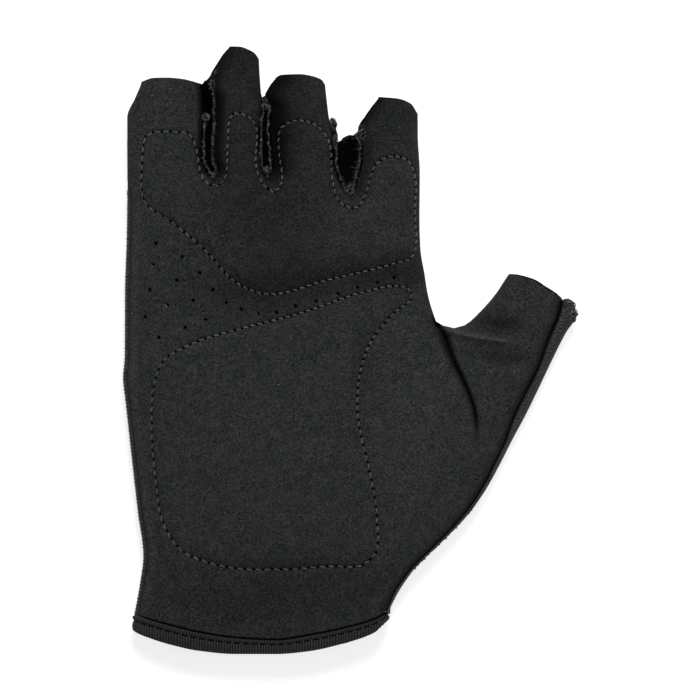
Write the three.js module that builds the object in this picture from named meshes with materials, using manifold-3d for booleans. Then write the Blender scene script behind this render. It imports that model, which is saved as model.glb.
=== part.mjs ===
// Half-finger sport glove for the right hand, lying palm up on its back.
// Millimetres. +X towards the thumb, +Y towards the fingers, +Z up out of the palm.
// The glove rests with the flat of its back on z = 0.
import * as THREE from "three";
import { mergeVertices } from "three/addons/utils/BufferGeometryUtils.js";
import Module from "manifold-3d";

const wasm = await Module();
wasm.setup();

// Driving dimensions
const SEAM_Z = 7; // height at which palm side and back side meet
const PALM_WALL = 1.8; // suede with its backing
const BACK_WALL = 1.2; // knitted back
const BACK_DROP = 9.5; // how far the back would bulge below the seam if no floor flattened it
const GAP = 0.3; // clearance between neighbouring pieces
const PAD_RELIEF = 0.7; // how far a pad stands above the suede round it
const PAD_ROOT = 0.6; // how deep a pad reaches into the suede
const HOLE_RADIUS = 0.55; // pierced ventilation hole
const HOLE_SIDES = 6;
const CUT_HEIGHT = 40; // cutting bodies for pads and holes reach this far up
const STRIP_WALL = 0.8; // stretch fabric of the strips between the fingers
const STRIP_GAP = 0.5; // clearance of that fabric beside the suede
const STRIP_FOOT_DEPTH = 2; // depth of that channel at its foot
const STRIP_TIP_DEPTH = 10; // and at the fingertips, where the back allows it
const EDGE_WIDTH = 0.8; // overlocked raw edge, across
const EDGE_GAP = 0.45; // clearance of the thumb's and the side's edge strip along the suede
const EDGE_UP = 0.4; // overlocked raw edge above the suede beside it
const EDGE_DOWN = 0.5; // overlocked raw edge below the suede beside it
const EDGE_TURN = 2.4; // an edge strip turns round its gap this far above the foot
const SIDE_EDGE_HALF = 0.6; // half height of the edge on the little finger's side
const SIDE_EDGE_INSET = 1.1; // suede edge inside the outline where the side seam runs
const TAPE_GAP = 1; // clearance between the suede's wrist edge and the tape
const EDGE_LIP = 0.7; // least depth of a panel's edge face
const TAPE_PROUD = 0.3; // wrist tape above the suede
const TAPE_WALL = 2.4; // wrist tape, folded over the edge, through all its layers
const LOBE_POWER = 5; // how sharply neighbouring bulges join
const FINGER_FULLNESS = 2.3; // squareness of a finger's section
const PALM_FULLNESS = 5; // squareness of the palm's section
const THUMB_FULLNESS = 3.4; // squareness of the thumb's section
const OVERHANG = 1.6; // a finger's side past the cut edge of the suede
const REACH_RUN = 4; // length over which that overhang comes and goes
const SPREAD = 0.12; // how fast finger bulges widen into the palm
const OUTER_CORNER = 68.7; // where the little finger's slanted edge starts
const THUMB_WEB_TOP = 8.4; // above this the thumb stands clear of the palm
const HEEL_TOP = -58.6; // below this the palm bulge ends at the thumb seam
const THUMB_BULGE_TOP = 26; // above this the thumb has ended
const FOLD_SETTLE = 4; // folds fade out where the suede rises less than this
const BACK_SETTLE = 6; // the back's finger bulges fade where they rise less than this
const LAST_ROW = -70; // the rows of the plan bend into the wrist edge below this
const WRIST_ROWS = 2; // rows of the plan between there and the wrist edge
const WRIST_TRIES = 12; // rounds in which a point settles on the wrist edge
const PROBE = 0.15; // step at which a surface's slope is read
const WELD = 1e-4; // corners closer than this are one
const GRID = 1000; // corners of the plan are matched in steps of a thousandth
const GAP_STEPS = 7; // sections along a strip between two fingers
const TAPE_STEPS = 44; // sections round the wrist tape

// Smooth interpolation down a table with a y column
function track(rows, key) {
  const list = [...rows].sort((a, b) => a.y - b.y);
  const y = list.map((row) => row.y);
  const v = list.map((row) => row[key]);
  const slope = y.map(() => 0);
  const chord = (i) => (v[i + 1] - v[i]) / (y[i + 1] - y[i]);
  for (let i = 1; i < y.length - 1; i += 1) {
    const before = chord(i - 1);
    const after = chord(i);
    slope[i] = before * after > 0 ? (2 * before * after) / (before + after) : 0;
  }
  slope[0] = chord(0);
  slope[y.length - 1] = chord(y.length - 2);
  return (at) => {
    if (at <= y[0]) return v[0];
    if (at >= y[y.length - 1]) return v[y.length - 1];
    let i = 0;
    while (at > y[i + 1]) i += 1;
    const step = y[i + 1] - y[i];
    const t = (at - y[i]) / step;
    const t2 = t * t;
    const t3 = t2 * t;
    return (
      (2 * t3 - 3 * t2 + 1) * v[i] +
      (t3 - 2 * t2 + t) * step * slope[i] +
      (3 * t2 - 2 * t3) * v[i + 1] +
      (t3 - t2) * step * slope[i + 1]
    );
  };
}

// The two sides of a gap between digits, which are one line from its foot down
function gapLines(rows, foot) {
  const upper = rows.filter((row) => row.y >= foot);
  const lower = rows.filter((row) => row.y <= foot);
  const one = track(lower, "left");
  const side = (key) => {
    const open = track(upper, key);
    return (y) => (y <= foot ? one(y) : open(y));
  };
  return { foot, left: side("left"), right: side("right") };
}

// Rise of each finger above the seam on the palm side, a row for each section
const FINGER_RISE = [
  { y: 90, little: 7, ring: 7.6, middle: 7.6, index: 7.4 },
  { y: 78, little: 7.2, ring: 8, middle: 8, index: 7.6 },
  { y: 65, little: 7.4, ring: 8.4, middle: 8.4, index: 8 },
  { y: 50, little: 7.4, ring: 8.4, middle: 8.4, index: 8 },
  { y: 40, little: 6, ring: 6.6, middle: 6.8, index: 6.4 },
  { y: 28, little: 3, ring: 3.4, middle: 3.6, index: 3.2 },
  { y: 17, little: 0, ring: 0, middle: 0, index: 0 },
];

// Thumb and palm: inner bound of the bulge inside the glove and rise above the seam
const THUMB_BULGE = [
  { y: 26, left: 49.6, rise: 7 },
  { y: 10, left: 37.4, rise: 7.4 },
  { y: 8.4, left: 35.7, rise: 7.5 },
  { y: 6.4, left: 32.6, rise: 7.6 },
  { y: 1.4, left: 28, rise: 7.8 },
  { y: -4.8, left: 25.6, rise: 8 },
  { y: -12.5, left: 23.2, rise: 8.2 },
  { y: -27.9, left: 18.5, rise: 8.2 },
  { y: -39.4, left: 14.9, rise: 7.8 },
  { y: -51.5, left: 10.5, rise: 7.2 },
  { y: -65.7, left: 4.5, rise: 6.8 },
  { y: -86, left: -4, rise: 6.4 },
];
const PALM_BULGE = [
  { y: 85, right: 20.8, rise: 7 },
  { y: 52, right: 20.8, rise: 7.6 },
  { y: 38, right: 20.7, rise: 8.6 },
  { y: 22, right: 22.2, rise: 9.2 },
  { y: 8.4, right: 25.6, rise: 9.6 },
  { y: 2.9, right: 28.8, rise: 9.6 },
  { y: -8.5, right: 34.4, rise: 9.6 },
  { y: -20, right: 38.6, rise: 9.4 },
  { y: -30, right: 39.4, rise: 9.2 },
  { y: -40, right: 37, rise: 8.8 },
  { y: -51.5, right: 30.2, rise: 8.2 },
  { y: -58.6, right: 24.3, rise: 7.8 },
  { y: -72.8, right: 12.8, rise: 7.2 },
  { y: -86, right: 8.2, rise: 6.8 },
];

// Where the palm bulge starts, seen from the fingers, across the glove
const FRONT_START = [
  { x: -66, start: 54.5 },
  { x: -24, start: 54.5 },
  { x: 0, start: 49 },
  { x: 21, start: 52 },
];
const BACK_START = [
  { x: -66, start: 86 },
  { x: -42.8, start: 79.4 },
  { x: -25.6, start: 75 },
  { x: -1, start: 63 },
  { x: 2.2, start: 65.4 },
  { x: 21, start: 78 },
];
const FRONT_ROUND = 12; // length over which the palm bulge rises to its height
const BACK_ROUND = 5;

// Main folds of the suede, each along a straight stretch; a negative height is a crease
const FOLDS = [
  { x0: 26.2, y0: 7.3, x1: 28.4, y1: 3.2, height: -1.2, width: 1.5 },
  { x0: 28.4, y0: 3.2, x1: 33.3, y1: -8.5, height: -1.5, width: 1.5 },
  { x0: 33.3, y0: -8.5, x1: 37.4, y1: -19.9, height: -1.2, width: 1.5 },
  { x0: 29, y0: 5.0, x1: 47, y1: 2.2, height: 0.9, width: 2.2 },
  { x0: 38, y0: -2.6, x1: 48, y1: -1.4, height: -0.7, width: 2.4 },
  { x0: -60, y0: -60, x1: -58.5, y1: -56, height: 0.7, width: 2.2 },
  { x0: 2, y0: -72, x1: 14, y1: -60, height: 0.8, width: 3 },
];

// Outline of the palm side and the lines between the digits, a row for each section
const OUTER_LEFT = [
  { y: 81, x: -60.9 },
  { y: 79.1, x: -61.3 },
  { y: 74.4, x: -63.2 },
  { y: 68.7, x: -65.7 },
  { y: 50, x: -65.6 },
  { y: 33.6, x: -65.8 },
  { y: 17.7, x: -66.3 },
  { y: -1.8, x: -66.4 },
  { y: -8.4, x: -66.9 },
  { y: -14, x: -66.3 },
  { y: -28.5, x: -64.7 },
  { y: -48, x: -62.5 },
  { y: -61, x: -60.9 },
  { y: -69.2, x: -61.9 },
  { y: -86, x: -65.2 },
];
const LITTLE_RING = [
  { y: 90, left: -44.9, right: -35.3 },
  { y: 89.6, left: -44.9, right: -35.6 },
  { y: 84.5, left: -44.8, right: -39.5 },
  { y: 81, left: -44.7, right: -41.6 },
  { y: 79.8, left: -44.6, right: -42.3 },
  { y: 78, left: -44.3, right: -41.9 },
  { y: 74.6, left: -43.7, right: -39.5 },
  { y: 69, left: -43.5, right: -39.3 },
  { y: 62, left: -43.9, right: -39.8 },
  { y: 56.5, left: -43.8, right: -39.9 },
  { y: 52.6, left: -42.3, right: -38.9 },
  { y: 51.2, left: -41.2, right: -39.5 },
  { y: 50.2, left: -40.2, right: -40.2 },
  { y: 20, left: -41.5, right: -41.5 },
  { y: -30, left: -42, right: -42 },
  { y: -60, left: -40.5, right: -40.5 },
  { y: -86, left: -45, right: -45 },
];
const RING_MIDDLE = [
  { y: 90, left: -26.9, right: -21.2 },
  { y: 82, left: -26.6, right: -21.2 },
  { y: 80.5, left: -26.5, right: -21.7 },
  { y: 77.4, left: -26.3, right: -23.5 },
  { y: 74.6, left: -26.1, right: -25.2 },
  { y: 73.2, left: -26.1, right: -24.4 },
  { y: 70.9, left: -26.2, right: -23 },
  { y: 66.4, left: -26.6, right: -23.2 },
  { y: 58.5, left: -26.7, right: -22.8 },
  { y: 53.7, left: -26.2, right: -22.6 },
  { y: 51.4, left: -25.2, right: -23.6 },
  { y: 50.2, left: -24.4, right: -24.4 },
  { y: 20, left: -23, right: -23 },
  { y: -30, left: -21.5, right: -21.5 },
  { y: -60, left: -22.5, right: -22.5 },
  { y: -86, left: -27, right: -27 },
];
const MIDDLE_INDEX = [
  { y: 82, left: -7.4, right: 9.4 },
  { y: 78.3, left: -7.2, right: 9.4 },
  { y: 74.6, left: -6.8, right: 8.6 },
  { y: 68.7, left: -6.1, right: 4.9 },
  { y: 64.6, left: -4.9, right: 2.4 },
  { y: 62.6, left: -4.3, right: 3.4 },
  { y: 60.5, left: -4.2, right: 4.1 },
  { y: 56.7, left: -4.6, right: 4.1 },
  { y: 52, left: -4, right: 3.2 },
  { y: 48.4, left: -2.5, right: 2.1 },
  { y: 46, left: -0.8, right: 1.2 },
  { y: 44.9, left: 0.3, right: 0.3 },
  { y: 20, left: 1, right: 1 },
  { y: -30, left: 0, right: 0 },
  { y: -60, left: -5, right: -5 },
  { y: -86, left: -11, right: -11 },
];
const INDEX_THUMB = [
  { y: 76, left: 20.2, right: 48.2 },
  { y: 63.8, left: 20.2, right: 48.2 },
  { y: 52, left: 20.8, right: 48.2 },
  { y: 38.4, left: 20.7, right: 48.2 },
  { y: 29.5, left: 21, right: 48.2 },
  { y: 22.4, left: 22.2, right: 47.1 },
  { y: 20.3, left: 22.5, right: 45.7 },
  { y: 16.2, left: 23.2, right: 43 },
  { y: 10, left: 25, right: 37.4 },
  { y: 8.4, left: 25.6, right: 35.7 },
  { y: 7.2, left: 26.5, right: 33.6 },
  { y: 6.6, left: 27.2, right: 27.2 },
  { y: 3.2, left: 28.4, right: 28.4 },
  { y: -2.9, left: 30.6, right: 30.6 },
  { y: -8.5, left: 33.3, right: 33.3 },
  { y: -14.6, left: 35.9, right: 35.9 },
  { y: -20, left: 36.9, right: 36.9 },
  { y: -28, left: 35.6, right: 35.6 },
  { y: -40, left: 30.5, right: 30.5 },
  { y: -52, left: 22, right: 22 },
  { y: -62, left: 12.5, right: 12.5 },
  { y: -74, left: 4, right: 4 },
  { y: -86, left: 0, right: 0 },
];
const THUMB_SEAM = [
  { y: 23, x: 63.2 },
  { y: 15.1, x: 62.9 },
  { y: 13.5, x: 62.6 },
  { y: 10, x: 61.8 },
  { y: 6.4, x: 60.2 },
  { y: 2.9, x: 58.8 },
  { y: -4.8, x: 56 },
  { y: -12.5, x: 52.2 },
  { y: -19.9, x: 48.6 },
  { y: -27.9, x: 45.7 },
  { y: -33.8, x: 42.8 },
  { y: -39.4, x: 40 },
  { y: -44.4, x: 37 },
  { y: -51.5, x: 31.4 },
  { y: -58.6, x: 24.3 },
  { y: -65.7, x: 17.4 },
  { y: -72.8, x: 12.8 },
  { y: -86, x: 8.2 },
];
const THUMB_OUTLINE = [
  { y: 14.6, x: 65.4 },
  { y: 13.2, x: 67 },
  { y: 10.6, x: 67.4 },
  { y: 8.8, x: 66.7 },
  { y: 5.2, x: 64.1 },
  { y: -1.8, x: 60.5 },
  { y: -12.5, x: 55.4 },
  { y: -19.6, x: 51.9 },
  { y: -26.7, x: 48.1 },
  { y: -33.8, x: 44.5 },
  { y: -40.9, x: 40.6 },
  { y: -44.4, x: 38.3 },
  { y: -48, x: 35.7 },
  { y: -55.1, x: 29.1 },
  { y: -62.1, x: 21.9 },
  { y: -65.7, x: 18.5 },
  { y: -72.8, x: 13.8 },
  { y: -76.3, x: 12.1 },
];

// Cut edges of the digits, from little finger side to thumb side; across runs from 0 to 1
const HEMS = {
  little: [
    { across: 0, y: 79.1 },
    { across: 0.19, y: 80.2 },
    { across: 0.42, y: 80.3 },
    { across: 0.73, y: 79.9 },
    { across: 1, y: 78.6 },
  ],
  ring: [
    { across: 0, y: 89.6 },
    { across: 0.38, y: 89.4 },
    { across: 0.7, y: 88.5 },
    { across: 0.89, y: 87.5 },
    { across: 1, y: 85.9 },
  ],
  middle: [
    { across: 0, y: 80.5 },
    { across: 0.09, y: 81.2 },
    { across: 0.49, y: 81.3 },
    { across: 0.73, y: 80.8 },
    { across: 0.94, y: 79.7 },
    { across: 1, y: 78.3 },
  ],
  index: [
    { across: 0, y: 74.6 },
    { across: 0.5, y: 74.1 },
    { across: 0.84, y: 72.6 },
    { across: 1, y: 69.7 },
  ],
  thumb: [
    { across: 0, y: 22.4 },
    { across: 0.39, y: 21 },
    { across: 0.72, y: 18.3 },
    { across: 1, y: 15.1 },
  ],
};

// Wrist edge of the suede and lower edge of the tape, across the glove
const WRIST = [
  { x: -65, top: -77.4, bottom: -80.6 },
  { x: -63.7, top: -77.8, bottom: -83.2 },
  { x: -58.7, top: -79.3, bottom: -85.3 },
  { x: -51.9, top: -81.1, bottom: -87.3 },
  { x: -44.8, top: -82.8, bottom: -88.8 },
  { x: -33.6, top: -84.5, bottom: -89.8 },
  { x: -21.7, top: -85.1, bottom: -89.8 },
  { x: -12.3, top: -83.8, bottom: -89 },
  { x: -0.7, top: -81.4, bottom: -86.4 },
  { x: 7.5, top: -79, bottom: -83.4 },
  { x: 11.4, top: -76.8, bottom: -79.6 },
];

// Pierced ventilation holes
const HOLES = [
  { x: -57.2, y: 31.4 },
  { x: -49.5, y: 27.4 },
  { x: -44.2, y: 22.7 },
  { x: -40.3, y: 17.7 },
  { x: -36.5, y: 14 },
  { x: -32.1, y: 12 },
  { x: -27, y: 10.7 },
  { x: -21.6, y: 11 },
  { x: -16, y: 12.9 },
  { x: -9.9, y: 14.4 },
  { x: -3.5, y: 16.5 },
  { x: 2.2, y: 18.4 },
  { x: 8.1, y: 20 },
  { x: 13.2, y: 21.4 },
  { x: -58.2, y: 25.1 },
  { x: -51, y: 20.6 },
  { x: -46.1, y: 14.5 },
  { x: -42.4, y: 8.9 },
  { x: -59, y: 17.7 },
  { x: -53.8, y: 13.2 },
  { x: -48.6, y: 6.6 },
  { x: -60.5, y: 9.7 },
  { x: -56.3, y: 3.6 },
];

// Corners of the two pads, joined by a smooth closed curve
const FINGER_PAD = [
  { x: -46.3, y: 63.2 },
  { x: -57.6, y: 63.6 },
  { x: -60.6, y: 60.5 },
  { x: -61.4, y: 50 },
  { x: -60.6, y: 43 },
  { x: -51.9, y: 37.2 },
  { x: -42.7, y: 29.5 },
  { x: -33.1, y: 19.6 },
  { x: -27, y: 16.9 },
  { x: -5.2, y: 20.9 },
  { x: 17, y: 26.3 },
  { x: 19, y: 30 },
  { x: 18.8, y: 52 },
  { x: 16, y: 56 },
  { x: 9.5, y: 56.4 },
  { x: 5.6, y: 50.4 },
  { x: 3.2, y: 43 },
  { x: -0.6, y: 42 },
  { x: -4.4, y: 45.8 },
  { x: -5.6, y: 58.5 },
  { x: -8.2, y: 64.6 },
  { x: -16.4, y: 67.6 },
  { x: -20.8, y: 64.6 },
  { x: -20.8, y: 50 },
  { x: -23.6, y: 46.8 },
  { x: -27, y: 52.2 },
  { x: -27.5, y: 66 },
  { x: -33.4, y: 69.8 },
  { x: -36, y: 60.5 },
  { x: -37.3, y: 50.8 },
  { x: -40.4, y: 48.7 },
  { x: -43.8, y: 52.6 },
];
const HEEL_PAD = [
  { x: -58.4, y: -13.5 },
  { x: -55.6, y: -4 },
  { x: -47.3, y: 1.4 },
  { x: -24.4, y: 8.4 },
  { x: 5.8, y: 17.4 },
  { x: 17.4, y: 18.2 },
  { x: 17, y: 13.4 },
  { x: 6.1, y: 2 },
  { x: 2.4, y: -12.2 },
  { x: 3.9, y: -27.6 },
  { x: 8.1, y: -50.3 },
  { x: 6.6, y: -61.8 },
  { x: -6.5, y: -63.9 },
  { x: -19.4, y: -64.8 },
  { x: -39.8, y: -63.3 },
  { x: -52.2, y: -56.8 },
  { x: -57, y: -41 },
];

const LITTLE_RING_FOOT = 50.2;
const RING_MIDDLE_FOOT = 50.2;
const MIDDLE_INDEX_FOOT = 44.9;
const THUMB_FOOT = 6.6;
const littleRing = gapLines(LITTLE_RING, LITTLE_RING_FOOT);
const ringMiddle = gapLines(RING_MIDDLE, RING_MIDDLE_FOOT);
const middleIndex = gapLines(MIDDLE_INDEX, MIDDLE_INDEX_FOOT);
const indexThumb = gapLines(INDEX_THUMB, THUMB_FOOT);

const sideInset = track(
  [
    { y: 50, x: 0 },
    { y: 42, x: SIDE_EDGE_INSET },
  ],
  "x",
);
const outerLeft = track(OUTER_LEFT, "x");
const suedeLeft = (y) => outerLeft(y) + sideInset(y);
const thumbSeam = track(THUMB_SEAM, "x");
const thumbOutline = track(THUMB_OUTLINE, "x");

// The back's digits run into each other further up than the palm's
const BACK_LITTLE_RING = [
  { y: 90, left: -43.4, right: -35.3 },
  { y: 89.6, left: -43.4, right: -35.6 },
  { y: 84.5, left: -43.4, right: -39.5 },
  { y: 81, left: -43.4, right: -41.6 },
  { y: 78.8, left: -43.4, right: -43.4 },
  { y: 60, left: -41.8, right: -41.8 },
  { y: 20, left: -41.5, right: -41.5 },
  { y: -30, left: -42, right: -42 },
  { y: -60, left: -40.5, right: -40.5 },
  { y: -86, left: -45, right: -45 },
];
const BACK_RING_MIDDLE = [
  { y: 90, left: -26.9, right: -21.2 },
  { y: 82, left: -26.6, right: -21.2 },
  { y: 80.5, left: -26.5, right: -21.7 },
  { y: 77.4, left: -26.3, right: -23.5 },
  { y: 75.4, left: -26.1, right: -24.8 },
  { y: 74.2, left: -25.7, right: -25.7 },
  { y: 20, left: -23, right: -23 },
  { y: -30, left: -21.5, right: -21.5 },
  { y: -60, left: -22.5, right: -22.5 },
  { y: -86, left: -27, right: -27 },
];
const BACK_MIDDLE_INDEX = [
  { y: 82, left: -7.4, right: 9.4 },
  { y: 78.3, left: -7.2, right: 9.4 },
  { y: 74.6, left: -6.8, right: 8.6 },
  { y: 68.7, left: -6.1, right: 4.9 },
  { y: 64.6, left: -4.9, right: 2.4 },
  { y: 63.2, left: -3.9, right: 1.2 },
  { y: 62.4, left: -1.2, right: -1.2 },
  { y: 20, left: 1, right: 1 },
  { y: -30, left: 0, right: 0 },
  { y: -60, left: -5, right: -5 },
  { y: -86, left: -11, right: -11 },
];
const BACK_LITTLE_RING_FOOT = 78.8;
const BACK_RING_MIDDLE_FOOT = 74.2;
const BACK_MIDDLE_INDEX_FOOT = 62.4;
const backLittleRing = gapLines(BACK_LITTLE_RING, BACK_LITTLE_RING_FOOT);
const backRingMiddle = gapLines(BACK_RING_MIDDLE, BACK_RING_MIDDLE_FOOT);
const backMiddleIndex = gapLines(BACK_MIDDLE_INDEX, BACK_MIDDLE_INDEX_FOOT);

// Surface of the glove, as heights over the plan
const smooth = (t) => {
  const u = Math.min(1, Math.max(0, t));
  return u * u * (3 - 2 * u);
};

// How far a finger's round side reaches past the cut edge of the suede
function reach({ foot }, overhang, tip, y) {
  if (y < foot) return SPREAD * (foot - y);
  return overhang * smooth((tip - y) / REACH_RUN) * smooth((y - foot) / REACH_RUN);
}

function fingerBulge(name, before, after, overhang) {
  const rise = track(FINGER_RISE, name);
  const left = (y) => {
    if (!before) return suedeLeft(Math.min(y, OUTER_CORNER));
    const at = Math.min(y, before.cap);
    return before.right(at) - reach(before, overhang, before.cap, at);
  };
  const right = (y) => {
    if (!after) return indexThumb.left(y);
    return after.left(y) + reach(after, overhang, after.tip, y);
  };
  return { left, right, rise, fullness: FINGER_FULLNESS };
}

function fingerBulges(lines, overhang) {
  const [one, two, three] = lines;
  return [
    fingerBulge("little", null, one, overhang),
    fingerBulge("ring", one, two, overhang),
    fingerBulge("middle", two, three, overhang),
    fingerBulge("index", three, null, overhang),
  ];
}

// Tops of the three gaps on their right side (cap) and left side (tip)
const GAP_TOPS = [
  { cap: 79.8, tip: 78.6 },
  { cap: 74.6, tip: 74.6 },
  { cap: 64.6, tip: 64.6 },
];
const withTops = (lines) => lines.map((line, i) => ({ ...line, ...GAP_TOPS[i] }));
const frontLines = withTops([littleRing, ringMiddle, middleIndex]);
const backLines = withTops([backLittleRing, backRingMiddle, backMiddleIndex]);
const frontFingers = fingerBulges(frontLines, OVERHANG);
const backFingers = fingerBulges(backLines, 0);

const thumbInner = track(THUMB_BULGE, "left");
const thumbBulge = {
  left: (y) => (y > THUMB_WEB_TOP ? indexThumb.right(y) : thumbInner(y)),
  right: thumbSeam,
  rise: track(THUMB_BULGE, "rise"),
  fullness: THUMB_FULLNESS,
};
const palmInner = track(PALM_BULGE, "right");
const palmRight = (y) => (y > THUMB_WEB_TOP ? indexThumb.left(y) : palmInner(y));
const palmBulge = {
  left: suedeLeft,
  right: (y) => (y < HEEL_TOP ? thumbSeam(y) : palmRight(y)),
  rise: track(PALM_BULGE, "rise"),
  fullness: PALM_FULLNESS,
};

const alongX = (rows, key) => track(rows.map((row) => ({ ...row, y: row.x })), key);
const frontStart = alongX(FRONT_START, "start");
const backStart = alongX(BACK_START, "start");

function section(form, x, y) {
  const left = form.left(y);
  const right = form.right(y);
  const across = (2 * x - left - right) / (right - left);
  const rest = 1 - Math.abs(across) ** form.fullness;
  return rest > 0 ? Math.sqrt(rest) : 0;
}

function onset(start, length, y) {
  const t = Math.min(1, Math.max(0, (start - y) / length));
  return Math.sqrt(1 - (1 - t) ** 2);
}

const joined = (heights) =>
  heights.reduce((sum, h) => sum + h ** LOBE_POWER, 0) ** (1 / LOBE_POWER);

function foldHeight(x, y) {
  let height = 0;
  for (const fold of FOLDS) {
    const dx = fold.x1 - fold.x0;
    const dy = fold.y1 - fold.y0;
    const along = ((x - fold.x0) * dx + (y - fold.y0) * dy) / (dx * dx + dy * dy);
    const t = Math.min(1, Math.max(0, along));
    const far = Math.hypot(x - fold.x0 - t * dx, y - fold.y0 - t * dy);
    height += fold.height * Math.exp(-((far / fold.width) ** 2));
  }
  return height;
}

function frontHeight(x, y) {
  const heights = frontFingers.map((form) => form.rise(y) * section(form, x, y));
  const palm = palmBulge.rise(y) * section(palmBulge, x, y);
  heights.push(palm * onset(frontStart(x), FRONT_ROUND, y));
  if (y < THUMB_BULGE_TOP) heights.push(thumbBulge.rise(y) * section(thumbBulge, x, y));
  const height = joined(heights);
  const settle = Math.min(1, height / FOLD_SETTLE);
  return SEAM_Z + height + foldHeight(x, y) * settle;
}

function backHeight(x, y) {
  const heights = backFingers.map((form) => {
    const fade = Math.min(1, form.rise(y) / BACK_SETTLE);
    return BACK_DROP * fade * section(form, x, y);
  });
  heights.push(BACK_DROP * section(palmBulge, x, y) * onset(backStart(x), BACK_ROUND, y));
  if (y < THUMB_BULGE_TOP) heights.push(BACK_DROP * section(thumbBulge, x, y));
  return Math.max(0, SEAM_Z - joined(heights));
}

function normalOf(height, x, y) {
  const sx = (height(x + PROBE, y) - height(x - PROBE, y)) / (2 * PROBE);
  const sy = (height(x, y + PROBE) - height(x, y - PROBE)) / (2 * PROBE);
  return new THREE.Vector3(-sx, -sy, 1).normalize();
}

// Plan of a panel, a fan of digits that join along their shared lines
function digitColumns(count) {
  return Array.from({ length: count + 1 }, (_, i) => (1 - Math.cos((Math.PI * i) / count)) / 2);
}

const wristTop = alongX(WRIST, "top");
const wristBottom = alongX(WRIST, "bottom");

function hemY(hem, across) {
  return track(hem.map((row) => ({ y: row.across, v: row.y })), "v")(across);
}

function planPoint(digit, across, y) {
  const left = digit.left(y);
  return [left + across * (digit.right(y) - left), y];
}

function wristPoint(digit, across, share, from) {
  let y = from;
  for (let i = 0; i < WRIST_TRIES; i += 1) {
    const [x] = planPoint(digit, across, y);
    y = from + (wristTop(x) - from) * share;
  }
  return planPoint(digit, across, y);
}

// Plan patches: each digit from its hem down its own rows, then down the rows it shares
function planPatches(digits, sharedRows, ownShares, lastRows) {
  return digits.map((digit) => {
    const columns = digitColumns(digit.columns);
    const shared = sharedRows.filter((y) => y <= digit.base);
    const patch = [];
    for (const share of ownShares) {
      patch.push(
        columns.map((across) => {
          const y = digit.base + (hemY(digit.hem, across) - digit.base) * share;
          return planPoint(digit, across, y);
        }),
      );
    }
    shared.forEach((y) => patch.push(columns.map((across) => planPoint(digit, across, y))));
    const lowest = shared[shared.length - 1];
    for (let i = 1; i <= lastRows; i += 1) {
      const share = i / lastRows;
      patch.push(columns.map((across) => wristPoint(digit, across, share, lowest)));
    }
    return patch;
  });
}

const FRONT_BASE = 50.2;
const THUMB_BASE = 10;
const frontDigits = [
  {
    left: suedeLeft,
    right: littleRing.left,
    hem: HEMS.little,
    base: FRONT_BASE,
    columns: 7,
  },
  {
    left: littleRing.right,
    right: ringMiddle.left,
    hem: HEMS.ring,
    base: FRONT_BASE,
    columns: 6,
  },
  {
    left: ringMiddle.right,
    right: middleIndex.left,
    hem: HEMS.middle,
    base: FRONT_BASE,
    columns: 6,
  },
  {
    left: middleIndex.right,
    right: indexThumb.left,
    hem: HEMS.index,
    base: FRONT_BASE,
    columns: 7,
  },
  {
    left: indexThumb.right,
    right: thumbSeam,
    hem: HEMS.thumb,
    base: THUMB_BASE,
    columns: 7,
  },
];
const FRONT_ROWS = [
  50.2, 48, 46, 44.9, 39, 32, 25, 18, 12, 10, 8.4, 7.2, 6.6, 3.2, -2.9, -8.5, -14.6, -22, -30, -38,
  -46, -54, -62, -70,
];

const BACK_MID_BASE = 74.2;
const BACK_INDEX_BASE = 68.7;
const backDigits = [
  {
    left: suedeLeft,
    right: backLittleRing.left,
    hem: HEMS.little,
    base: BACK_MID_BASE,
    columns: 6,
  },
  {
    left: backLittleRing.right,
    right: backRingMiddle.left,
    hem: HEMS.ring,
    base: BACK_MID_BASE,
    columns: 5,
  },
  {
    left: backRingMiddle.right,
    right: backMiddleIndex.left,
    hem: HEMS.middle,
    base: BACK_MID_BASE,
    columns: 5,
  },
  {
    left: backMiddleIndex.right,
    right: indexThumb.left,
    hem: HEMS.index,
    base: BACK_INDEX_BASE,
    columns: 6,
  },
  {
    left: indexThumb.right,
    right: thumbSeam,
    hem: HEMS.thumb,
    base: THUMB_BASE,
    columns: 6,
  },
];
const BACK_ROWS = [
  74.2, 73.2, 71.4, 68.7, 64.6, 63.2, 62.4, 61.4, 59.6, 56, 46, 34, 22, 12, 10, 8.4, 7.2, 6.6, 0,
  -10, -20, -32, -44, -54, -61, -69,
];

// A closed body from two skins over the same plan patches
function shell(patches, outer, inner) {
  const index = new Map();
  const plan = [];
  const key = ([x, y]) => `${Math.round(x * GRID)},${Math.round(y * GRID)}`;
  const add = (point) => {
    const name = key(point);
    if (!index.has(name)) {
      index.set(name, plan.length);
      plan.push(point);
    }
    return index.get(name);
  };
  const triangles = [];
  for (const patch of patches) {
    for (let r = 0; r + 1 < patch.length; r += 1) {
      for (let c = 0; c + 1 < patch[r].length; c += 1) {
        const a = add(patch[r][c]);
        const b = add(patch[r][c + 1]);
        const d = add(patch[r + 1][c]);
        const e = add(patch[r + 1][c + 1]);
        if (a !== d && d !== e && a !== e) triangles.push([a, d, e]);
        if (a !== e && e !== b && a !== b) triangles.push([a, e, b]);
      }
    }
  }
  const count = plan.length;
  const corners = [...plan.map(outer), ...plan.map(inner)];
  const faces = [];
  const edges = new Map();
  for (const [a, b, c] of triangles) {
    faces.push([a, b, c], [c + count, b + count, a + count]);
    for (const [p, q] of [[a, b], [b, c], [c, a]]) {
      if (edges.has(`${q},${p}`)) edges.delete(`${q},${p}`);
      else edges.set(`${p},${q}`, [p, q]);
    }
  }
  for (const [p, q] of edges.values()) {
    faces.push([q, p, p + count], [q, p + count, q + count]);
  }
  return bodyOf(corners, faces);
}

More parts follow.
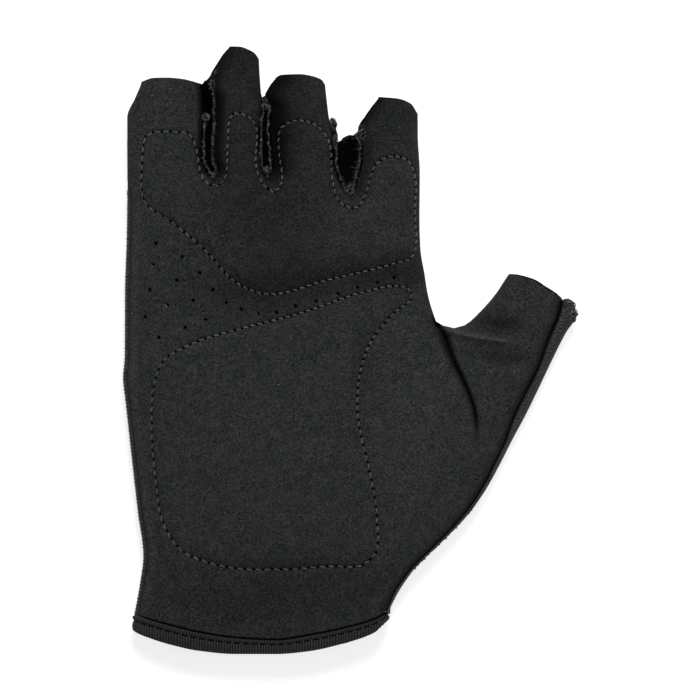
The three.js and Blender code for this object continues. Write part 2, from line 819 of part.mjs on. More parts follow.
// A closed body from a row of equal section loops, capped at both ends or joined into a ring
function loft(loops, ring) {
  const size = loops[0].length;
  const corners = loops.flat();
  const faces = [];
  const last = ring ? loops.length : loops.length - 1;
  for (let k = 0; k < last; k += 1) {
    const here = k * size;
    const next = ((k + 1) % loops.length) * size;
    for (let i = 0; i < size; i += 1) {
      const j = (i + 1) % size;
      faces.push([here + i, here + j, next + j], [here + i, next + j, next + i]);
    }
  }
  if (!ring) {
    const flat = THREE.ShapeUtils.triangulateShape(sectionPlane(loops[0]), []);
    const end = (loops.length - 1) * size;
    flat.forEach(([a, b, c]) => {
      faces.push([c, b, a], [a + end, b + end, c + end]);
    });
  }
  return bodyOf(corners, faces);
}

// A section loop laid flat in its own plane, for its end caps
function sectionPlane(loop) {
  const middle = new THREE.Vector3();
  loop.forEach((p) => middle.add(p));
  middle.divideScalar(loop.length);
  const normal = new THREE.Vector3();
  loop.forEach((p, i) => {
    const q = loop[(i + 1) % loop.length];
    normal.add(p.clone().sub(middle).cross(q.clone().sub(middle)));
  });
  normal.normalize();
  const u = loop[1].clone().sub(loop[0]).normalize();
  const v = normal.clone().cross(u);
  return loop.map((p) => {
    const arm = p.clone().sub(middle);
    return new THREE.Vector2(arm.dot(u), arm.dot(v));
  });
}

// Six times the volume inside a set of faces, negative where they look inwards
function signedVolume(corners, faces) {
  return faces.reduce(
    (sum, [a, b, c]) => sum + corners[a].dot(corners[b].clone().cross(corners[c])),
    0,
  );
}

function bodyOf(corners, faces) {
  if (signedVolume(corners, faces) < 0) faces.forEach((face) => face.reverse());
  const geometry = new THREE.BufferGeometry();
  const points = corners.flatMap((p) => [p.x, p.y, p.z]);
  geometry.setAttribute("position", new THREE.Float32BufferAttribute(points, 3));
  geometry.setIndex(faces.flat());
  return geometry;
}

function toSolid(geometry) {
  const bare = geometry.clone();
  bare.deleteAttribute("normal");
  bare.deleteAttribute("uv");
  const merged = mergeVertices(bare, WELD);
  return new wasm.Manifold(
    new wasm.Mesh({
      numProp: 3,
      vertProperties: new Float32Array(merged.attributes.position.array),
      triVerts: new Uint32Array(merged.index.array),
    }),
  );
}

function fromSolid(solid) {
  const mesh = solid.getMesh();
  const geometry = new THREE.BufferGeometry();
  geometry.setAttribute("position", new THREE.BufferAttribute(mesh.vertProperties.slice(), 3));
  geometry.setIndex(new THREE.BufferAttribute(mesh.triVerts.slice(), 1));
  return geometry;
}

// The main body of a solid, without slivers that a cut leaves
const largest = (solid) =>
  solid.decompose().reduce((best, body) => (body.volume() > best.volume() ? body : best));

// Skins of the two panels
const frontZ = (x, y) => Math.max(SEAM_Z + GAP / 2 + EDGE_LIP, frontHeight(x, y));
const backZ = (x, y) => Math.min(SEAM_Z - GAP / 2 - EDGE_LIP, backHeight(x, y));
function offFront(distance) {
  return ([x, y]) => {
    const point = new THREE.Vector3(x, y, frontZ(x, y));
    point.addScaledVector(normalOf(frontHeight, x, y), distance);
    point.z = Math.max(SEAM_Z + GAP / 2, point.z);
    return point;
  };
}
function offBack(distance) {
  return ([x, y]) => {
    const point = new THREE.Vector3(x, y, backZ(x, y));
    point.addScaledVector(normalOf(backHeight, x, y), distance);
    point.z = Math.min(SEAM_Z - GAP / 2, point.z);
    return point;
  };
}

// Rows of each digit above its foot, as shares of the way up to its hem
const FRONT_SHARES = [1, 0.8, 0.62, 0.44, 0.28, 0.15, 0.07];
const BACK_SHARES = [1, 0.6, 0.25];
const frontPlan = planPatches(frontDigits, FRONT_ROWS, FRONT_SHARES, WRIST_ROWS);
const backPlan = planPatches(backDigits, BACK_ROWS, BACK_SHARES, WRIST_ROWS);

function padSolid(corners) {
  const points = corners.map((p) => new THREE.Vector3(p.x, p.y, 0));
  const curve = new THREE.CatmullRomCurve3(points, true, "centripetal");
  const outline = curve.getSpacedPoints(corners.length * 2).slice(0, -1);
  const shape = new THREE.Shape(outline.map((p) => new THREE.Vector2(p.x, p.y)));
  const prism = new THREE.ExtrudeGeometry(shape, { depth: CUT_HEIGHT, bevelEnabled: false });
  const skin = shell(frontPlan, offFront(PAD_RELIEF), offFront(-PAD_ROOT));
  return toSolid(prism).intersect(toSolid(skin));
}

function holeSolid({ x, y }) {
  const pin = new THREE.CylinderGeometry(HOLE_RADIUS, HOLE_RADIUS, CUT_HEIGHT, HOLE_SIDES);
  pin.rotateX(Math.PI / 2);
  pin.translate(x, y, SEAM_Z + CUT_HEIGHT / 2);
  return toSolid(pin);
}

function palmPanel() {
  let solid = toSolid(shell(frontPlan, offFront(0), offFront(-PALM_WALL)));
  solid = solid.add(padSolid(FINGER_PAD)).add(padSolid(HEEL_PAD));
  for (const hole of HOLES) solid = solid.subtract(holeSolid(hole));
  return fromSolid(largest(solid));
}

const backPanel = () => shell(backPlan, offBack(BACK_WALL), offBack(0));

// Strips of stretch fabric between the fingers: a channel that deepens towards the fingertips
function channel({ left, right }, foot, tip) {
  const loops = [];
  for (let i = 0; i <= GAP_STEPS; i += 1) {
    const t = i / GAP_STEPS;
    const y = foot + (tip - foot) * t;
    const xl = left(y) + STRIP_GAP;
    const xr = right(y) - STRIP_GAP;
    const under = [0, 0.25, 0.5, 0.75, 1].map((share) => backZ(xl + share * (xr - xl), y));
    const top = Math.min(frontZ(left(y), y), frontZ(right(y), y)) - EDGE_DOWN - 2 * GAP;
    const floor = Math.max(...under) + BACK_WALL + 2 * GAP;
    const depth = STRIP_FOOT_DEPTH + (STRIP_TIP_DEPTH - STRIP_FOOT_DEPTH) * t;
    const bottom = Math.min(top - 2 * STRIP_WALL, Math.max(floor, top - depth));
    const wall = Math.min(STRIP_WALL, (xr - xl) / 2 - GAP / 2);
    loops.push([
      new THREE.Vector3(xl, y, top),
      new THREE.Vector3(xl, y, bottom),
      new THREE.Vector3(xr, y, bottom),
      new THREE.Vector3(xr, y, top),
      new THREE.Vector3(xr - wall, y, top),
      new THREE.Vector3(xr - wall, y, bottom + STRIP_WALL),
      new THREE.Vector3(xl + wall, y, bottom + STRIP_WALL),
      new THREE.Vector3(xl + wall, y, top),
    ]);
  }
  return loft(loops, false);
}

// Overlocked raw edge round the gap between two fingers, a ribbon that follows its U
function gapEdge({ foot, left, right }, leftTip, rightTip) {
  const slot = foot + EDGE_TURN;
  const pairs = [];
  for (let i = 0; i < GAP_STEPS; i += 1) {
    const y = leftTip + (slot - leftTip) * (i / (GAP_STEPS - 1));
    const x = left(y);
    pairs.push({ out: [x + GAP, y], in: [x + GAP + EDGE_WIDTH, y], z: frontZ(x, y) });
  }
  const low = foot + 2 * GAP;
  const mid = (left(low) + right(low)) / 2;
  const slotMid = (left(slot) + right(slot)) / 2;
  pairs.push({ out: [mid, low], in: [slotMid, slot - GAP], z: frontZ(mid, foot) });
  for (let i = GAP_STEPS - 1; i >= 0; i -= 1) {
    const y = rightTip + (slot - rightTip) * (i / (GAP_STEPS - 1));
    const x = right(y);
    pairs.push({ out: [x - GAP, y], in: [x - GAP - EDGE_WIDTH, y], z: frontZ(x, y) });
  }
  const loops = pairs.map((pair) => [
    new THREE.Vector3(...pair.out, pair.z - EDGE_DOWN),
    new THREE.Vector3(...pair.out, pair.z + EDGE_UP),
    new THREE.Vector3(...pair.in, pair.z + EDGE_UP),
    new THREE.Vector3(...pair.in, pair.z - EDGE_DOWN),
  ]);
  return loft(loops, false);
}

// Flat overlocked strip along an outer seam, between two lines of the plan
function seamStrip(inside, outside, rows, halfHeight) {
  const loops = rows.map((y) => {
    const near = inside(y);
    const far = outside(y);
    const half = halfHeight(y);
    return [
      new THREE.Vector3(near, y, SEAM_Z - half),
      new THREE.Vector3(near, y, SEAM_Z + half),
      new THREE.Vector3(far, y, SEAM_Z + half),
      new THREE.Vector3(far, y, SEAM_Z - half),
    ];
  });
  return loft(loops, false);
}

const THUMB_STRIP_ROWS = [
  14.4, 13.2, 10.6, 8.8, 5.2, -1.8, -12.5, -20, -28, -34, -40, -46, -52, -58, -64, -70, -75.6,
];
const SIDE_STRIP_ROWS = [
  42, 30, 18, 6, -2, -8.4, -14, -22, -30, -38, -46, -54, -58, -62, -66, -70, -77,
];
const thumbHalf = track(
  [
    { y: 14.4, half: 0.9 },
    { y: 10.6, half: 1.2 },
    { y: 5, half: 0.7 },
    { y: -75, half: 0.6 },
  ],
  "half",
);

// Elastic tape folded over the wrist edge, as a ring round the mouth
function wristTape() {
  const right = { left: thumbSeam, right: thumbSeam };
  const left = { left: outerLeft, right: outerLeft };
  const cloth = { left: suedeLeft, right: suedeLeft };
  const [rightX] = wristPoint(right, 0, 1, LAST_ROW);
  const [leftX] = wristPoint(left, 0, 1, LAST_ROW);
  const [clothX] = wristPoint(cloth, 0, 1, LAST_ROW);
  const stretch = (rightX - clothX) / (rightX - leftX);
  const centre = (rightX + leftX) / 2;
  const half = (rightX - leftX) / 2;
  const ring = [];
  for (let k = 0; k < TAPE_STEPS; k += 1) {
    const angle = (2 * Math.PI * (k + 0.5)) / TAPE_STEPS;
    const x = centre + half * Math.cos(angle);
    const y = wristTop(x);
    const under = rightX + (x - rightX) * stretch;
    const z = Math.sin(angle) > 0 ? frontHeight(under, y) : backHeight(under, y);
    ring.push(new THREE.Vector3(x, y, z));
  }
  const loops = ring.map((point, k) => {
    const before = ring[(k + TAPE_STEPS - 1) % TAPE_STEPS];
    const after = ring[(k + 1) % TAPE_STEPS];
    const out = new THREE.Vector3(after.z - before.z, 0, before.x - after.x).normalize();
    const outer = point.clone().addScaledVector(out, TAPE_PROUD);
    outer.z = Math.max(0, outer.z);
    const inner = point.clone().addScaledVector(out, TAPE_PROUD - TAPE_WALL);
    const top = wristTop(point.x) - TAPE_GAP;
    const bottom = wristBottom(point.x);
    return [
      new THREE.Vector3(outer.x, top, outer.z),
      new THREE.Vector3(inner.x, top, inner.z),
      new THREE.Vector3(inner.x, bottom, inner.z),
      new THREE.Vector3(outer.x, bottom, outer.z),
    ];
  });
  return loft(loops, true);
}

// Finishes
const suede = { color: 0x262828, roughness: 0.95, metalness: 0 };
const knit = { color: 0x101011, roughness: 0.9, metalness: 0 };
const overlock = { color: 0x3c383a, roughness: 0.95, metalness: 0 };
const tape = { color: 0x202021, roughness: 0.8, metalness: 0 };

const glove = new THREE.Group();
function piece(name, geometry, finish) {
  const mesh = new THREE.Mesh(geometry, new THREE.MeshStandardMaterial(finish));
  mesh.name = name;
  glove.add(mesh);
}

piece("palm_panel", palmPanel(), suede);
piece("back_panel", backPanel(), knit);

// Each gap between two fingers: ends of its stretch strip, and tops of its edge on both sides
const FINGER_GAPS = [
  { name: "little_ring", lines: littleRing, foot: 53.4, tip: 76.8, leftTop: 69, rightTop: 77.4 },
  { name: "ring_middle", lines: ringMiddle, foot: 53.4, tip: 70.4, leftTop: 72.6, rightTop: 71.6 },
  { name: "middle_index", lines: middleIndex, foot: 48.2, tip: 60.4, leftTop: 66.5, rightTop: 61.6 },
];
for (const { name, lines, foot, tip, leftTop, rightTop } of FINGER_GAPS) {
  piece(`fourchette_${name}`, channel(lines, foot, tip), knit);
  piece(`seam_edge_${name}`, gapEdge(lines, leftTop, rightTop), overlock);
}

const thumbNear = (y) => thumbSeam(y) + EDGE_GAP;
const thumbEdge = seamStrip(thumbNear, thumbOutline, THUMB_STRIP_ROWS, thumbHalf);
piece("seam_edge_thumb", thumbEdge, overlock);

const sideNear = (y) => suedeLeft(y) - EDGE_GAP;
const sideEdge = seamStrip(sideNear, outerLeft, SIDE_STRIP_ROWS, () => SIDE_EDGE_HALF);
piece("seam_edge_side", sideEdge, overlock);

piece("wrist_binding", wristTape(), tape);

export default glove;
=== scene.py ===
import math
import random

import bmesh
import bpy
import numpy as np
from mathutils.kdtree import KDTree
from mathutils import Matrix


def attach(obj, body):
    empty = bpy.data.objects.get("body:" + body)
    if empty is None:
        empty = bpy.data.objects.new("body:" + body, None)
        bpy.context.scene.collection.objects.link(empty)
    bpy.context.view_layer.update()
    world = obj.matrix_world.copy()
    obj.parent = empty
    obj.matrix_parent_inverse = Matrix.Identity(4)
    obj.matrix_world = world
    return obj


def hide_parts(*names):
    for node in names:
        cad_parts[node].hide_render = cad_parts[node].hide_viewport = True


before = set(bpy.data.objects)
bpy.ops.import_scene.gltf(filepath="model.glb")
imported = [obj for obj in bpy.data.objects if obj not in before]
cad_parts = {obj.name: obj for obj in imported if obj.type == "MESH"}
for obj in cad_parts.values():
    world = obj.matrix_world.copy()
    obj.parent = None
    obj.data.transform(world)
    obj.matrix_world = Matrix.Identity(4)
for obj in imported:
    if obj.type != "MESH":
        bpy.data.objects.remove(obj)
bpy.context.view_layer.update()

# Palm: one piece of thin synthetic suede over the palm and the fronts of the fingers and thumb.
# Its edges are cut raw, foam pads are stitched under it, and small holes are pierced through it
# where the hand bends. All sizes below are millimetres, with the table at height 0.
MM = 0.001
SEAM_Z = 7.0  # height of the seam between palm and back
SEAM_SLIT = 0.05  # half of the slit that shows where the two meet
SUEDE_WALL = 1.3
PAD_RISE = 0.75  # foam pad above the suede round it
PAD_RUN = 3.4  # from the stitches to the pad's full height
VALLEY = 0.42  # depth of the groove that the stitches pull
VALLEY_RUN = 0.62
PIT = 0.3  # dip round a needle's hole
PIT_RUN = 0.5
NEEDLE_RADIUS = 0.42
HOLE_RADIUS = 0.62
HOLE_LIP = 0.22  # dip round a pierced hole
HOLE_LIP_RUN = 0.5
HOLE_TAPER = 0.75  # a pierced hole at the suede's reverse, as a share of its radius
HOLE_LEAN = 0.3  # the punch ran askew, to the right
LEAN_FROM = -38.0  # in the holes right of here
RIM_NEAR = (1.05, 1.8)  # times a hole's radius: its rim, and what is moved onto its rim
LOBE_POWER = 5  # how sharply neighbouring bulges join
FRONT_FULLNESS = (4.0, 6.0)  # how boxy the fingers and the thumb are
PALM_FULLNESS = 5.0
FRONT_ROUND = 12.0  # over what run the palm rises at its upper end
OVERHANG = 1.6  # a finger's side past the cut edge of its suede
REACH_RUN = 4.0  # over what run it gets there
SPREAD = 0.12  # how fast a finger's bulge widens below the foot of its gap
OUTER_CORNER = 68.7  # the little finger's bulge keeps its outer side above it
THUMB_WEB_TOP = 8.4
THUMB_BULGE_TOP = 26.0
HEEL_TOP = -58.6
FOLD_SETTLE = 4.0  # folds fade where the suede is lower than this above the seam
FLANKS = [(4.6, 3.8), (5.2, 7.0)]  # how far ring and middle finger turn down, and over what run
WEB = ([(29, 2.4), (41, 4.6)], 6.5, 6.8)  # fold at the thumb's root: line, radius and rise
WEB_ROUND = 1.5
WEB_RIM = [
    (25.6, 8.4), (26.2, 7.8), (27.6, 7.2), (29.2, 6.8), (30.9, 6.4), (33, 6.8), (33.9, 7.2),
    (34.9, 7.8), (35.7, 8.4), (37.4, 10), (43, 16.2),
]
DENTS = 14  # waves of slight unevenness, their height and their lengths
DENT_HEIGHT = 0.075
DENT_LENGTH = (3, 8)
LAST_ROW = -70.0  # the net's last straight row
EDGE_ROUNDS = 12  # how often a row is moved to meet the slanted wrist
MERGE = 0.02  # points of a net that are closer become one
CURVE_STEPS = 24  # points on a smooth curve between two of its corners
PROBE = 0.15  # heights this far away give the slope at a point

# Rise of the suede above the seam: y, little, ring, middle and index finger
FINGER_RISE = [
    (90, 7, 7.6, 7.6, 7.4), (78, 7.2, 8, 8, 7.6), (65, 7.4, 8.4, 8.4, 8), (50, 7.4, 8.4, 8.4, 8),
    (40, 6, 6.6, 6.8, 6.4), (28, 3, 3.4, 3.6, 3.2), (17, 0, 0, 0, 0),
]
# Thumb's and palm's bulge: y, its bound inside the glove, rise
THUMB_BULGE = [
    (26, 49.6, 7), (10, 37.4, 7.4), (8.4, 35.7, 7.5), (6.4, 32.6, 7.6), (1.4, 28, 7.8),
    (-4.8, 25.6, 8), (-12.5, 23.2, 8.2), (-27.9, 18.5, 8.2), (-39.4, 14.9, 7.8),
    (-51.5, 10.5, 7.2), (-65.7, 4.5, 6.8), (-86, -4, 6.4),
]
PALM_BULGE = [
    (85, 20.8, 7), (52, 20.8, 7.6), (38, 20.7, 8.6), (22, 22.2, 9.2), (8.4, 25.6, 9.6),
    (2.9, 28.8, 9.6), (-8.5, 34.4, 9.6), (-20, 38.6, 9.4), (-30, 39.4, 9.2), (-40, 37, 8.8),
    (-51.5, 30.2, 8.2), (-58.6, 24.3, 7.8), (-72.8, 12.8, 7.2), (-86, 8.2, 6.8),
]
FRONT_START = [(-66, 54.5), (-24, 54.5), (0, 49), (21, 52)]  # x, top of the palm's bulge

# Outline: y, x; lines between the digits: y, left, right, or only x where both have met
OUTER_LEFT = [
    (81, -60.9), (79.1, -61.3), (74.4, -63.2), (68.7, -65.7), (50, -65.6), (33.6, -65.8),
    (17.7, -66.3), (-1.8, -66.4), (-8.4, -66.9), (-14, -66.3), (-28.5, -64.7), (-48, -62.5),
    (-61, -60.9), (-69.2, -61.9), (-86, -65.2),
]
SIDE_INSET = [(50, 0), (42, 1.1)]  # y, suede's edge inside the outline
LITTLE_RING = [
    (90, -44.9, -35.1), (89.6, -44.9, -35.4), (84.5, -44.8, -38.7), (81, -44.7, -41),
    (79.8, -44.6, -41.8), (78, -44.3, -41.4), (74.6, -43.7, -39.5), (69, -43.5, -39.3),
    (62, -43.9, -39.8), (56.5, -43.8, -39.9), (52.6, -42.3, -38.9), (51.2, -41.2, -39.5),
    (50.2, -40.2, -40.2), (20, -41.5), (-30, -42), (-60, -40.5), (-86, -45),
]
RING_MIDDLE = [
    (90, -26.9, -21.2), (82, -26.6, -21.2), (80.5, -26.5, -21.7), (77.4, -26.3, -23.5),
    (74.6, -26.1, -25.2), (73.2, -26.1, -24.4), (70.9, -26.2, -23), (66.4, -26.6, -23.2),
    (58.5, -26.7, -22.8), (53.7, -26.2, -22.6), (51.4, -25.2, -23.6), (50.2, -24.4, -24.4),
    (20, -23), (-30, -21.5), (-60, -22.5), (-86, -27),
]
MIDDLE_INDEX = [
    (82, -7.4, 9.4), (78.3, -7.2, 9.4), (74.6, -6.8, 8.6), (68.7, -6.1, 4.9), (64.6, -5.3, 2.4),
    (62.6, -5.1, 3.4), (60.5, -5, 4.1), (56.7, -4.9, 4.1), (52, -4, 3.2), (48.4, -2.5, 2.1),
    (46, -0.8, 1.2), (44.9, 0.3, 0.3), (20, 1), (-30, 0), (-60, -5), (-86, -11),
]
INDEX_THUMB = [
    (76, 20.2, 48.2), (63.8, 20.2, 48.2), (52, 20.8, 48.2), (38.4, 20.7, 48.2), (29.5, 21, 48.2),
    (22.4, 22.2, 47.1), (20.3, 22.5, 45.7), (16.2, 23.2, 43), (10, 25, 37.4), (8.4, 25.6, 35.7),
    (7.8, 26.2, 34.9), (7.2, 27.6, 33.9), (6.8, 29.2, 33), (6.4, 30.9, 30.9), (3.2, 30),
    (-2.9, 31), (-8.5, 33.3), (-14.6, 35.9), (-20, 36.9), (-28, 35.6), (-40, 30.5), (-52, 22),
    (-62, 12.5), (-74, 4), (-86, 0),
]
THUMB_SEAM = [
    (23, 63.2), (15.1, 62.9), (13.5, 62.6), (10, 61.8), (6.4, 60.2), (2.9, 58.8), (-4.8, 56),
    (-12.5, 52.2), (-19.9, 48.6), (-27.9, 45.7), (-33.8, 42.8), (-39.4, 40), (-44.4, 37),
    (-51.5, 31.4), (-58.6, 24.3), (-65.7, 17.4), (-72.8, 12.8), (-86, 8.2),
]
# Cut edges of the digits, across from 0 to 1 and y
HEMS = {
    "little": [(0, 79.1), (0.19, 80.2), (0.42, 80.3), (0.73, 79.9), (1, 78.6)],
    "ring": [(0, 89.6), (0.38, 89.4), (0.7, 88.5), (0.89, 87.5), (1, 85.9)],
    "middle": [(0, 80.5), (0.09, 81.2), (0.49, 81.3), (0.73, 80.8), (0.94, 79.7), (1, 78.3)],
    "index": [(0, 74.6), (0.5, 74.1), (0.84, 72.6), (1, 69.7)],
    "thumb": [(0, 22.4), (0.39, 21), (0.72, 18.3), (1, 15.1)],
}
# Wrist: x, edge of the suede, lower edge of the tape
WRIST = [
    (-65, -77.4, -80.6), (-63.7, -77.8, -83.2), (-58.7, -79.3, -85.3), (-51.9, -81.1, -87.3),
    (-44.8, -82.8, -88.8), (-33.6, -84.5, -89.8), (-21.7, -85.1, -89.8), (-12.3, -83.8, -89),
    (-0.7, -81.4, -86.4), (7.5, -79, -83.4), (11.4, -76.8, -79.6),
]
# Pierced holes: x, y
HOLES = [
    (-57.2, 31.4), (-49.5, 27.4), (-44.2, 22.7), (-40.3, 17.7), (-36.5, 14), (-32.1, 12),
    (-27, 10.7), (-21.6, 11), (-16, 12.9), (-9.9, 14.4), (-3.5, 16.5), (2.2, 18.4), (8.1, 20),
    (13.2, 21.4), (-58.2, 25.1), (-51, 20.6), (-46.1, 14.5), (-42.4, 8.9), (-59, 17.7),
    (-53.8, 13.2), (-48.6, 6.6), (-60.5, 9.7), (-56.3, 3.6),
]
# Stitched outlines of the two pads: x, y
FINGER_PAD = [
    (-50.1, 64.2), (-56, 64.3), (-58.8, 64), (-60.2, 63), (-60.8, 61), (-61.2, 56.5), (-61.6, 51),
    (-61, 44.3), (-51.9, 37.2), (-42.7, 29.5), (-33.1, 19.6), (-27, 16.9), (-5.2, 20.9),
    (13.7, 25.6), (18.6, 27.2), (19.6, 29.6), (19.5, 39.8), (19.4, 51.7), (17.9, 55.3), (12, 57.1),
    (8.2, 55.2), (4.6, 46), (2.8, 42.5), (0.4, 41.9), (-3, 43.8), (-4.9, 50.2), (-6.1, 62),
    (-8.2, 65), (-16.4, 67.6), (-20.5, 65.5), (-21.1, 58.5), (-20.5, 48.4), (-22.1, 46.6),
    (-24.8, 48.2), (-27.1, 52.8), (-27.3, 64.9), (-27.9, 67.3), (-29.9, 68.8), (-32.5, 69.8),
    (-34.4, 69.6), (-35.5, 67.9), (-35.8, 64.1), (-36.1, 57.6), (-36.5, 52.5), (-37.6, 49.2),
    (-40.1, 48.5), (-42.7, 49.9), (-44, 53.1), (-44.5, 57), (-45.3, 60.1), (-46, 62.1),
    (-47.2, 63.7),
]
HEEL_PAD = [
    (-58.5, -19), (-58.1, -12.2), (-55, -3.3), (-47.3, 1.4), (-32.5, 6.1), (-16.1, 10.3),
    (5.8, 17.4), (13.7, 18.8), (18, 17.7), (18.6, 15.8), (13.2, 10.9), (6.1, 2), (2.8, -8.5),
    (2.6, -21.1), (5.5, -33.8), (8.1, -50.3), (7.5, -60.1), (5.2, -62.8), (-6.5, -63.9),
    (-19.4, -64.8), (-39.8, -63.3), (-50.4, -58.6), (-55.4, -50.6), (-57.2, -40),
]
# Folds of the suede: height and width, then x, y along it; a height below 0 is a crease
FOLDS = [
    (1.8, 1.0, (28.6, 6), (34.4, 4.2), (46, 2.4)), (-1.9, 2.3, (37, 7.8), (47.5, 5.8)),
    (-0.9, 2.0, (39, -2.6), (51, -3.4)), (0.7, 1.1, (-62, -55), (-60.4, -60)),
    (0.6, 1.4, (0, -71), (13, -60)), (-0.5, 1.5, (6, -73), (19, -62)),
    (0.25, 3, (-50, -72), (-36, -70)), (0.4, 1.6, (-63, 58), (-64, 44)),
]
# The sharp crease at the root of the thumb: x, y, depth and width
CREASE = [
    (25.8, 8.2, 4.5, 1.0), (28.4, 3.2, 3.9, 1.1), (30.6, -2.9, 2.8, 0.75), (33.3, -8.5, 2.4, 0.55),
    (35.9, -14.6, 2.0, 0.46), (37.3, -20, 1.6, 0.44), (37.4, -26, 0.3, 0.4), (37.2, -30, 0, 0.4),
]


def track(rows, column=1):
    """A smooth line through the rows of a table, from its first column to another one"""
    table = np.array(sorted(rows), float)
    at = table[:, 0]
    value = table[:, column]
    chord = np.diff(value) / np.diff(at)
    slope = np.concatenate([chord[:1], np.zeros(len(at) - 2), chord[-1:]])
    product = chord[:-1] * chord[1:]
    same = product > 0
    slope[1:-1][same] = 2 * product[same] / (chord[:-1] + chord[1:])[same]

    def along(x):
        x = np.clip(x, at[0], at[-1])
        i = np.clip(np.searchsorted(at, x) - 1, 0, len(at) - 2)
        step = at[i + 1] - at[i]
        t = (x - at[i]) / step
        ends = (2 * t**3 - 3 * t**2 + 1) * value[i] + (3 * t**2 - 2 * t**3) * value[i + 1]
        return ends + ((t**3 - 2 * t**2 + t) * slope[i] + (t**3 - t**2) * slope[i + 1]) * step

    return along


def gap_between(rows, foot, cap, tip):
    """The two sides of a gap between digits, which are one line from its foot down"""
    shared = track([row[:2] for row in rows if row[0] <= foot])
    upper = [row for row in rows if row[0] >= foot]
    left, right = (track(upper, column) for column in (1, 2))
    return {
        "foot": foot,
        "cap": cap,
        "tip": tip,
        "left": lambda y: np.where(y <= foot, shared(y), left(y)),
        "right": lambda y: np.where(y <= foot, shared(y), right(y)),
    }


def smooth(t):
    t = np.clip(t, 0, 1)
    return t * t * (3 - 2 * t)


def hump(away, width, power=2):
    """1 in the middle, and down to 0 on both sides"""
    return np.exp(-((away / width) ** power))


def unit(vectors):
    return vectors / np.linalg.norm(vectors, axis=-1, keepdims=True)


little_ring = gap_between(LITTLE_RING, 50.2, 79.8, 78.6)
ring_middle = gap_between(RING_MIDDLE, 50.2, 74.6, 74.6)
middle_index = gap_between(MIDDLE_INDEX, 44.9, 64.6, 64.6)
index_thumb = gap_between(INDEX_THUMB, 6.4, 22.4, 22.4)
outer_left = track(OUTER_LEFT)
side_inset = track(SIDE_INSET)
thumb_seam = track(THUMB_SEAM)
palm_inner = track(PALM_BULGE)
thumb_inner = track(THUMB_BULGE)
wrist_top = track(WRIST, 1)
wrist_bottom = track(WRIST, 2)


def suede_left(y):
    return outer_left(y) + side_inset(y)


def palm_right(y):
    return np.where(y > THUMB_WEB_TOP, index_thumb["left"](y), palm_inner(y))


def heel_right(y):
    return np.where(y < HEEL_TOP, thumb_seam(y), palm_right(y))


def thumb_left(y):
    return np.where(y > THUMB_WEB_TOP, index_thumb["right"](y), thumb_inner(y))


def reach(gap, top, overhang, y):
    """How far a finger's round side reaches past the cut edge of its suede"""
    side = overhang * smooth((top - y) / REACH_RUN) * smooth((y - gap["foot"]) / REACH_RUN)
    return np.where(y < gap["foot"], SPREAD * (gap["foot"] - y), side)


def finger_bounds(before, after, overhang):
    """Left and right bound of a finger's bulge as functions of y"""

    def left(y):
        if before is None:
            return suede_left(np.minimum(y, OUTER_CORNER))
        at = np.minimum(y, before["cap"])
        return before["right"](at) - reach(before, before["cap"], overhang, at)

    def right(y):
        if after is None:
            return index_thumb["left"](y)
        return after["left"](y) + reach(after, after["tip"], overhang, y)

    return left, right


def section(bounds, fullness, x, y):
    """Height from 0 to 1 of a bulge with round sides between two bounds"""
    left, right = (bound(y) for bound in bounds)
    across = (2 * x - left - right) / np.maximum(right - left, PROBE)
    return np.sqrt(np.clip(1 - np.abs(across) ** fullness, 0, None))


def onset(start, length, y):
    t = np.clip((start - y) / length, 0, 1)
    return np.sqrt(np.clip(1 - (1 - t) ** 2, 0, None))


def joined(heights):
    return sum(height**LOBE_POWER for height in heights) ** (1 / LOBE_POWER)


def finger_bulges(gaps, overhang):
    """Bounds of the four fingers"""
    edges = [None, *gaps, None]
    return [finger_bounds(before, after, overhang) for before, after in zip(edges, edges[1:])]


front_fingers = finger_bulges([little_ring, ring_middle, middle_index], OVERHANG)
finger_rises = [track(FINGER_RISE, column) for column in range(1, 5)]
palm_rise = track(PALM_BULGE, 2)
thumb_rise = track(THUMB_BULGE, 2)
front_start = track(FRONT_START)
dent_draw = random.Random(7)
soft_dents = []  # wave vector and phase of slight unevenness
for _ in range(DENTS):
    turn, length = dent_draw.uniform(0, 3.2), dent_draw.uniform(*DENT_LENGTH)
    phase = dent_draw.uniform(0, 6.3)
    soft_dents.append((math.cos(turn) / length, math.sin(turn) / length, phase))


def path_distance(path, x, y):
    """How far points of the plan are from a path through some corners"""
    nearest = np.inf
    for (x0, y0), (x1, y1) in zip(path, path[1:]):
        dx, dy = x1 - x0, y1 - y0
        t = np.clip(((x - x0) * dx + (y - y0) * dy) / (dx * dx + dy * dy), 0, 1)
        nearest = np.minimum(nearest, np.hypot(x - x0 - t * dx, y - y0 - t * dy))
    return nearest


def bulges(fingers, rises, fullness, starts, x, y):
    """Heights of the fingers, the palm and the thumb, from their rises and fullnesses"""
    heights = [rise * section(bounds, fullness[0], x, y) for bounds, rise in zip(fingers, rises)]
    palm = rises[4] * section((suede_left, heel_right), PALM_FULLNESS, x, y)
    thumb = rises[5] * section((thumb_left, thumb_seam), fullness[1], x, y)
    start, run = starts
    return [*heights, palm * onset(start(x), run, y), np.where(y < THUMB_BULGE_TOP, thumb, 0)]


